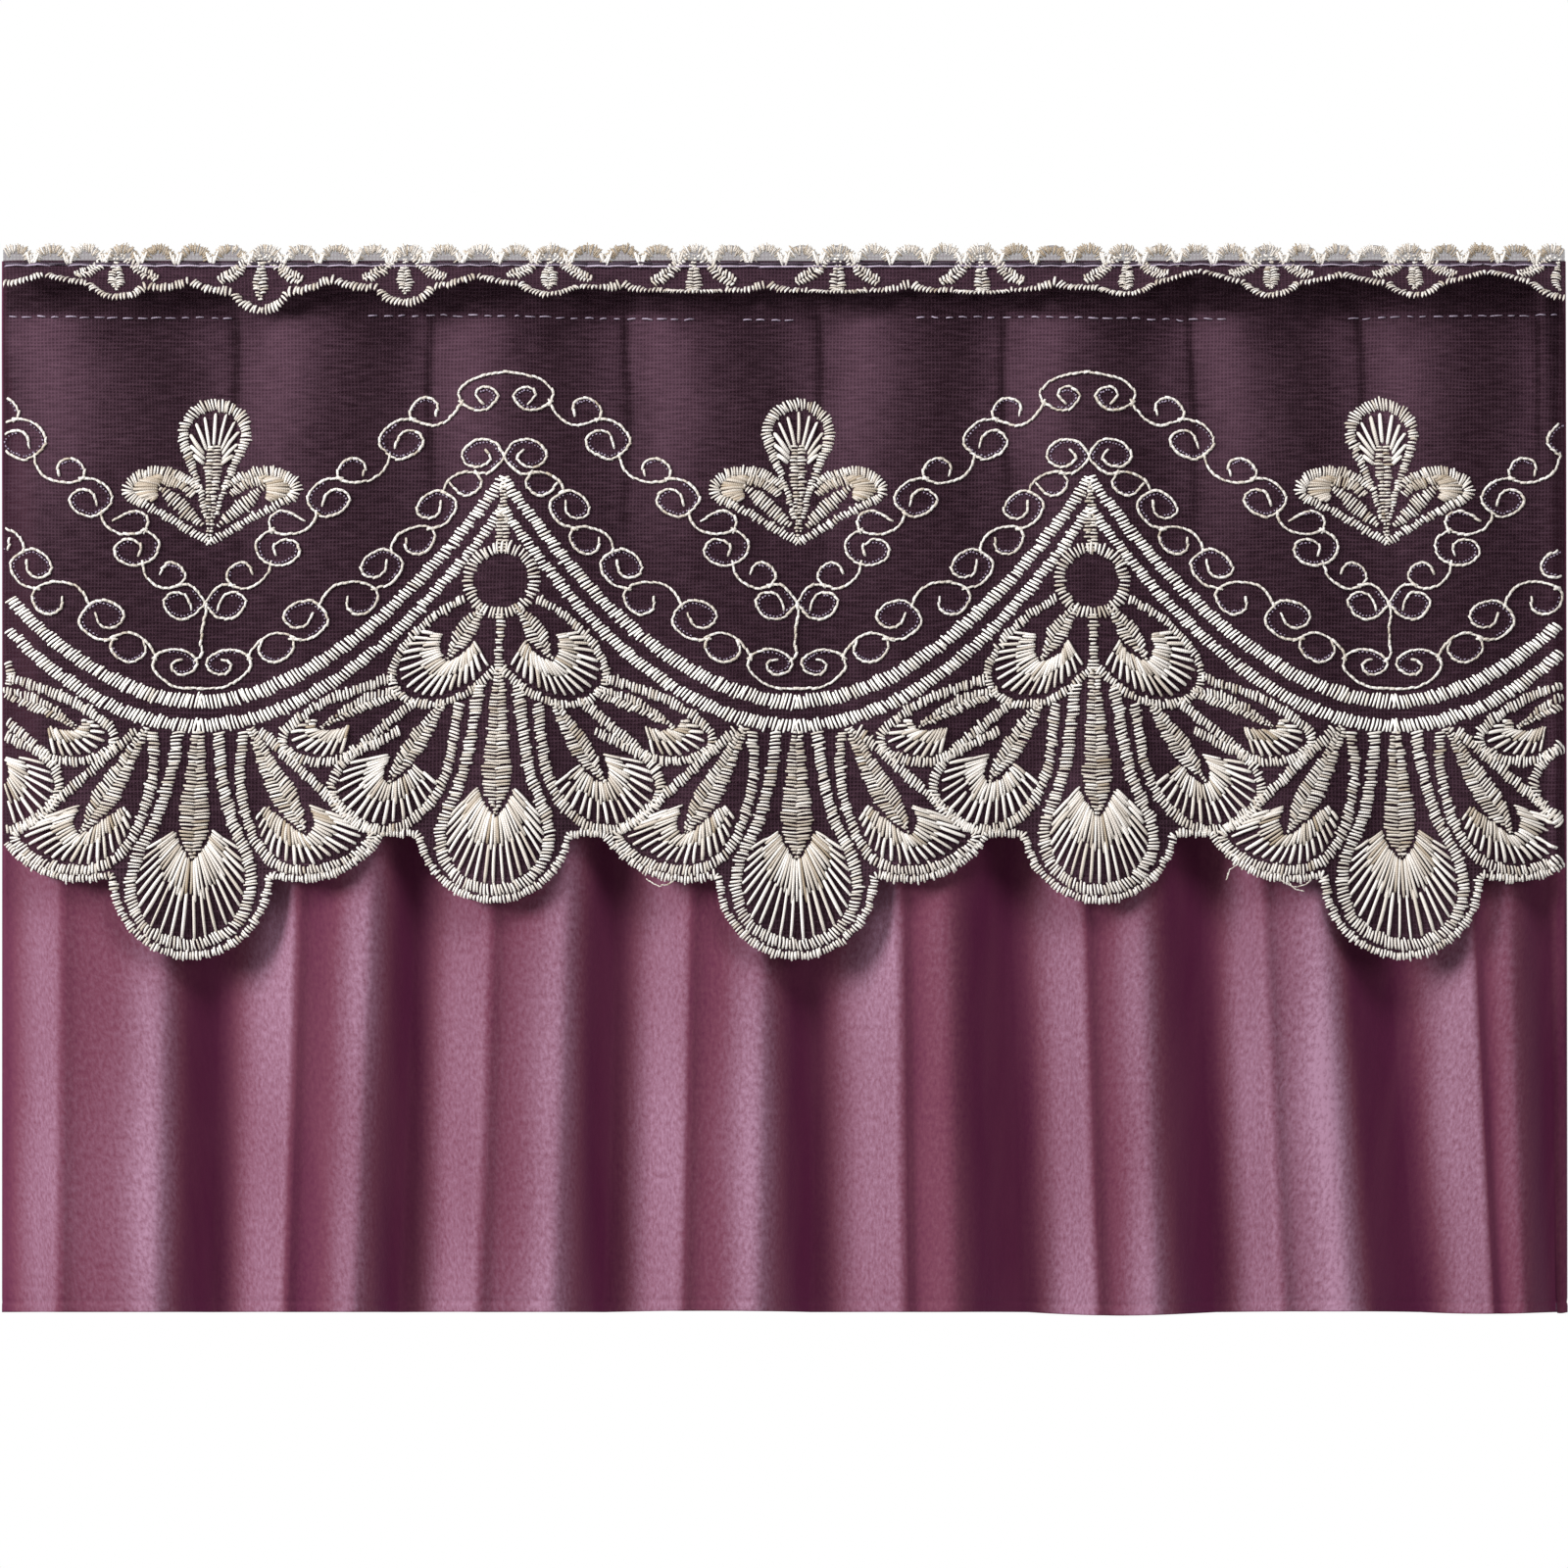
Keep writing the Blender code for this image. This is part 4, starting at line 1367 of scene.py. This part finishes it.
def add_lamp(lamp):
    """A round soft light that shines on the middle of the valance."""
    light = bpy.data.lights.new(lamp.name, "AREA")
    light.shape = "DISK"
    light.size = lamp.size
    light.energy = lamp.power
    made = add_object(lamp.name, light)
    made.location = lamp.place
    aim = Vector((0.0, 0.0, EYE_LEVEL)) - Vector(lamp.place)
    made.rotation_euler = aim.to_track_quat("-Z", "Y").to_euler()


def make_studio():
    scene = bpy.context.scene
    scene.view_settings.view_transform = "Standard"
    world = bpy.data.worlds.new("studio")
    world.use_nodes = True
    tree = world.node_tree
    backdrop = tree.nodes["Background"]
    backdrop.inputs["Color"].default_value = (1.0, 1.0, 1.0, 1.0)
    seen = add_node(tree, "LightPath").outputs["Is Camera Ray"]
    strength = result(tree, "MapRange", {0: seen, 3: AMBIENT, 4: 1.0})
    tree.links.new(strength, backdrop.inputs["Strength"])
    scene.world = world
    for lamp in LAMPS:
        add_lamp(lamp)
    where = (0.0, 0.0, FLOOR_LEVEL)
    bpy.ops.mesh.primitive_circle_add(vertices=96, radius=FLOOR_RADIUS, fill_type="NGON", location=where)
    floor = bpy.context.object
    floor.name = "floor"
    pale, tree, shader = start_material("pale_floor", 0.9)
    speck = noise(tree, add_node(tree, "TexCoord").outputs["Object"], 40.0)
    tint = blend_colours(tree, speck, (0.72, 0.72, 0.72, 1.0), (0.80, 0.80, 0.80, 1.0))
    tree.links.new(tint, shader.inputs["Base Color"])
    floor.data.materials.append(pale)


def make_camera():
    camera = bpy.data.cameras.new("camera")
    camera.lens = CAMERA_LENS
    camera.sensor_width = CAMERA_SENSOR
    made = add_object("camera", camera)
    made.location = (0.0, CAMERA_AT, EYE_LEVEL)
    made.rotation_euler = (0.5 * np.pi, 0.0, 0.0)
    bpy.context.scene.camera = made


def main():
    for old in list(bpy.data.objects):
        bpy.data.objects.remove(old, do_unlink=True)
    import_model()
    skirt = make_skirt(plush_material())
    sheer = ((0.011, 0.004, 0.007, 1.0), (0.104, 0.052, 0.077, 1.0))
    overlay = make_overlay(net_material("aubergine_net", *sheer, 0.86, 0.09))
    frill = make_frill(net_material("edging_net", *sheer, 0.60, 0.10))
    on_net, on_trim = make_threads()
    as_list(on_net)
    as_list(on_trim)
    make_studio()
    make_camera()
    bpy.context.view_layer.update()


main()
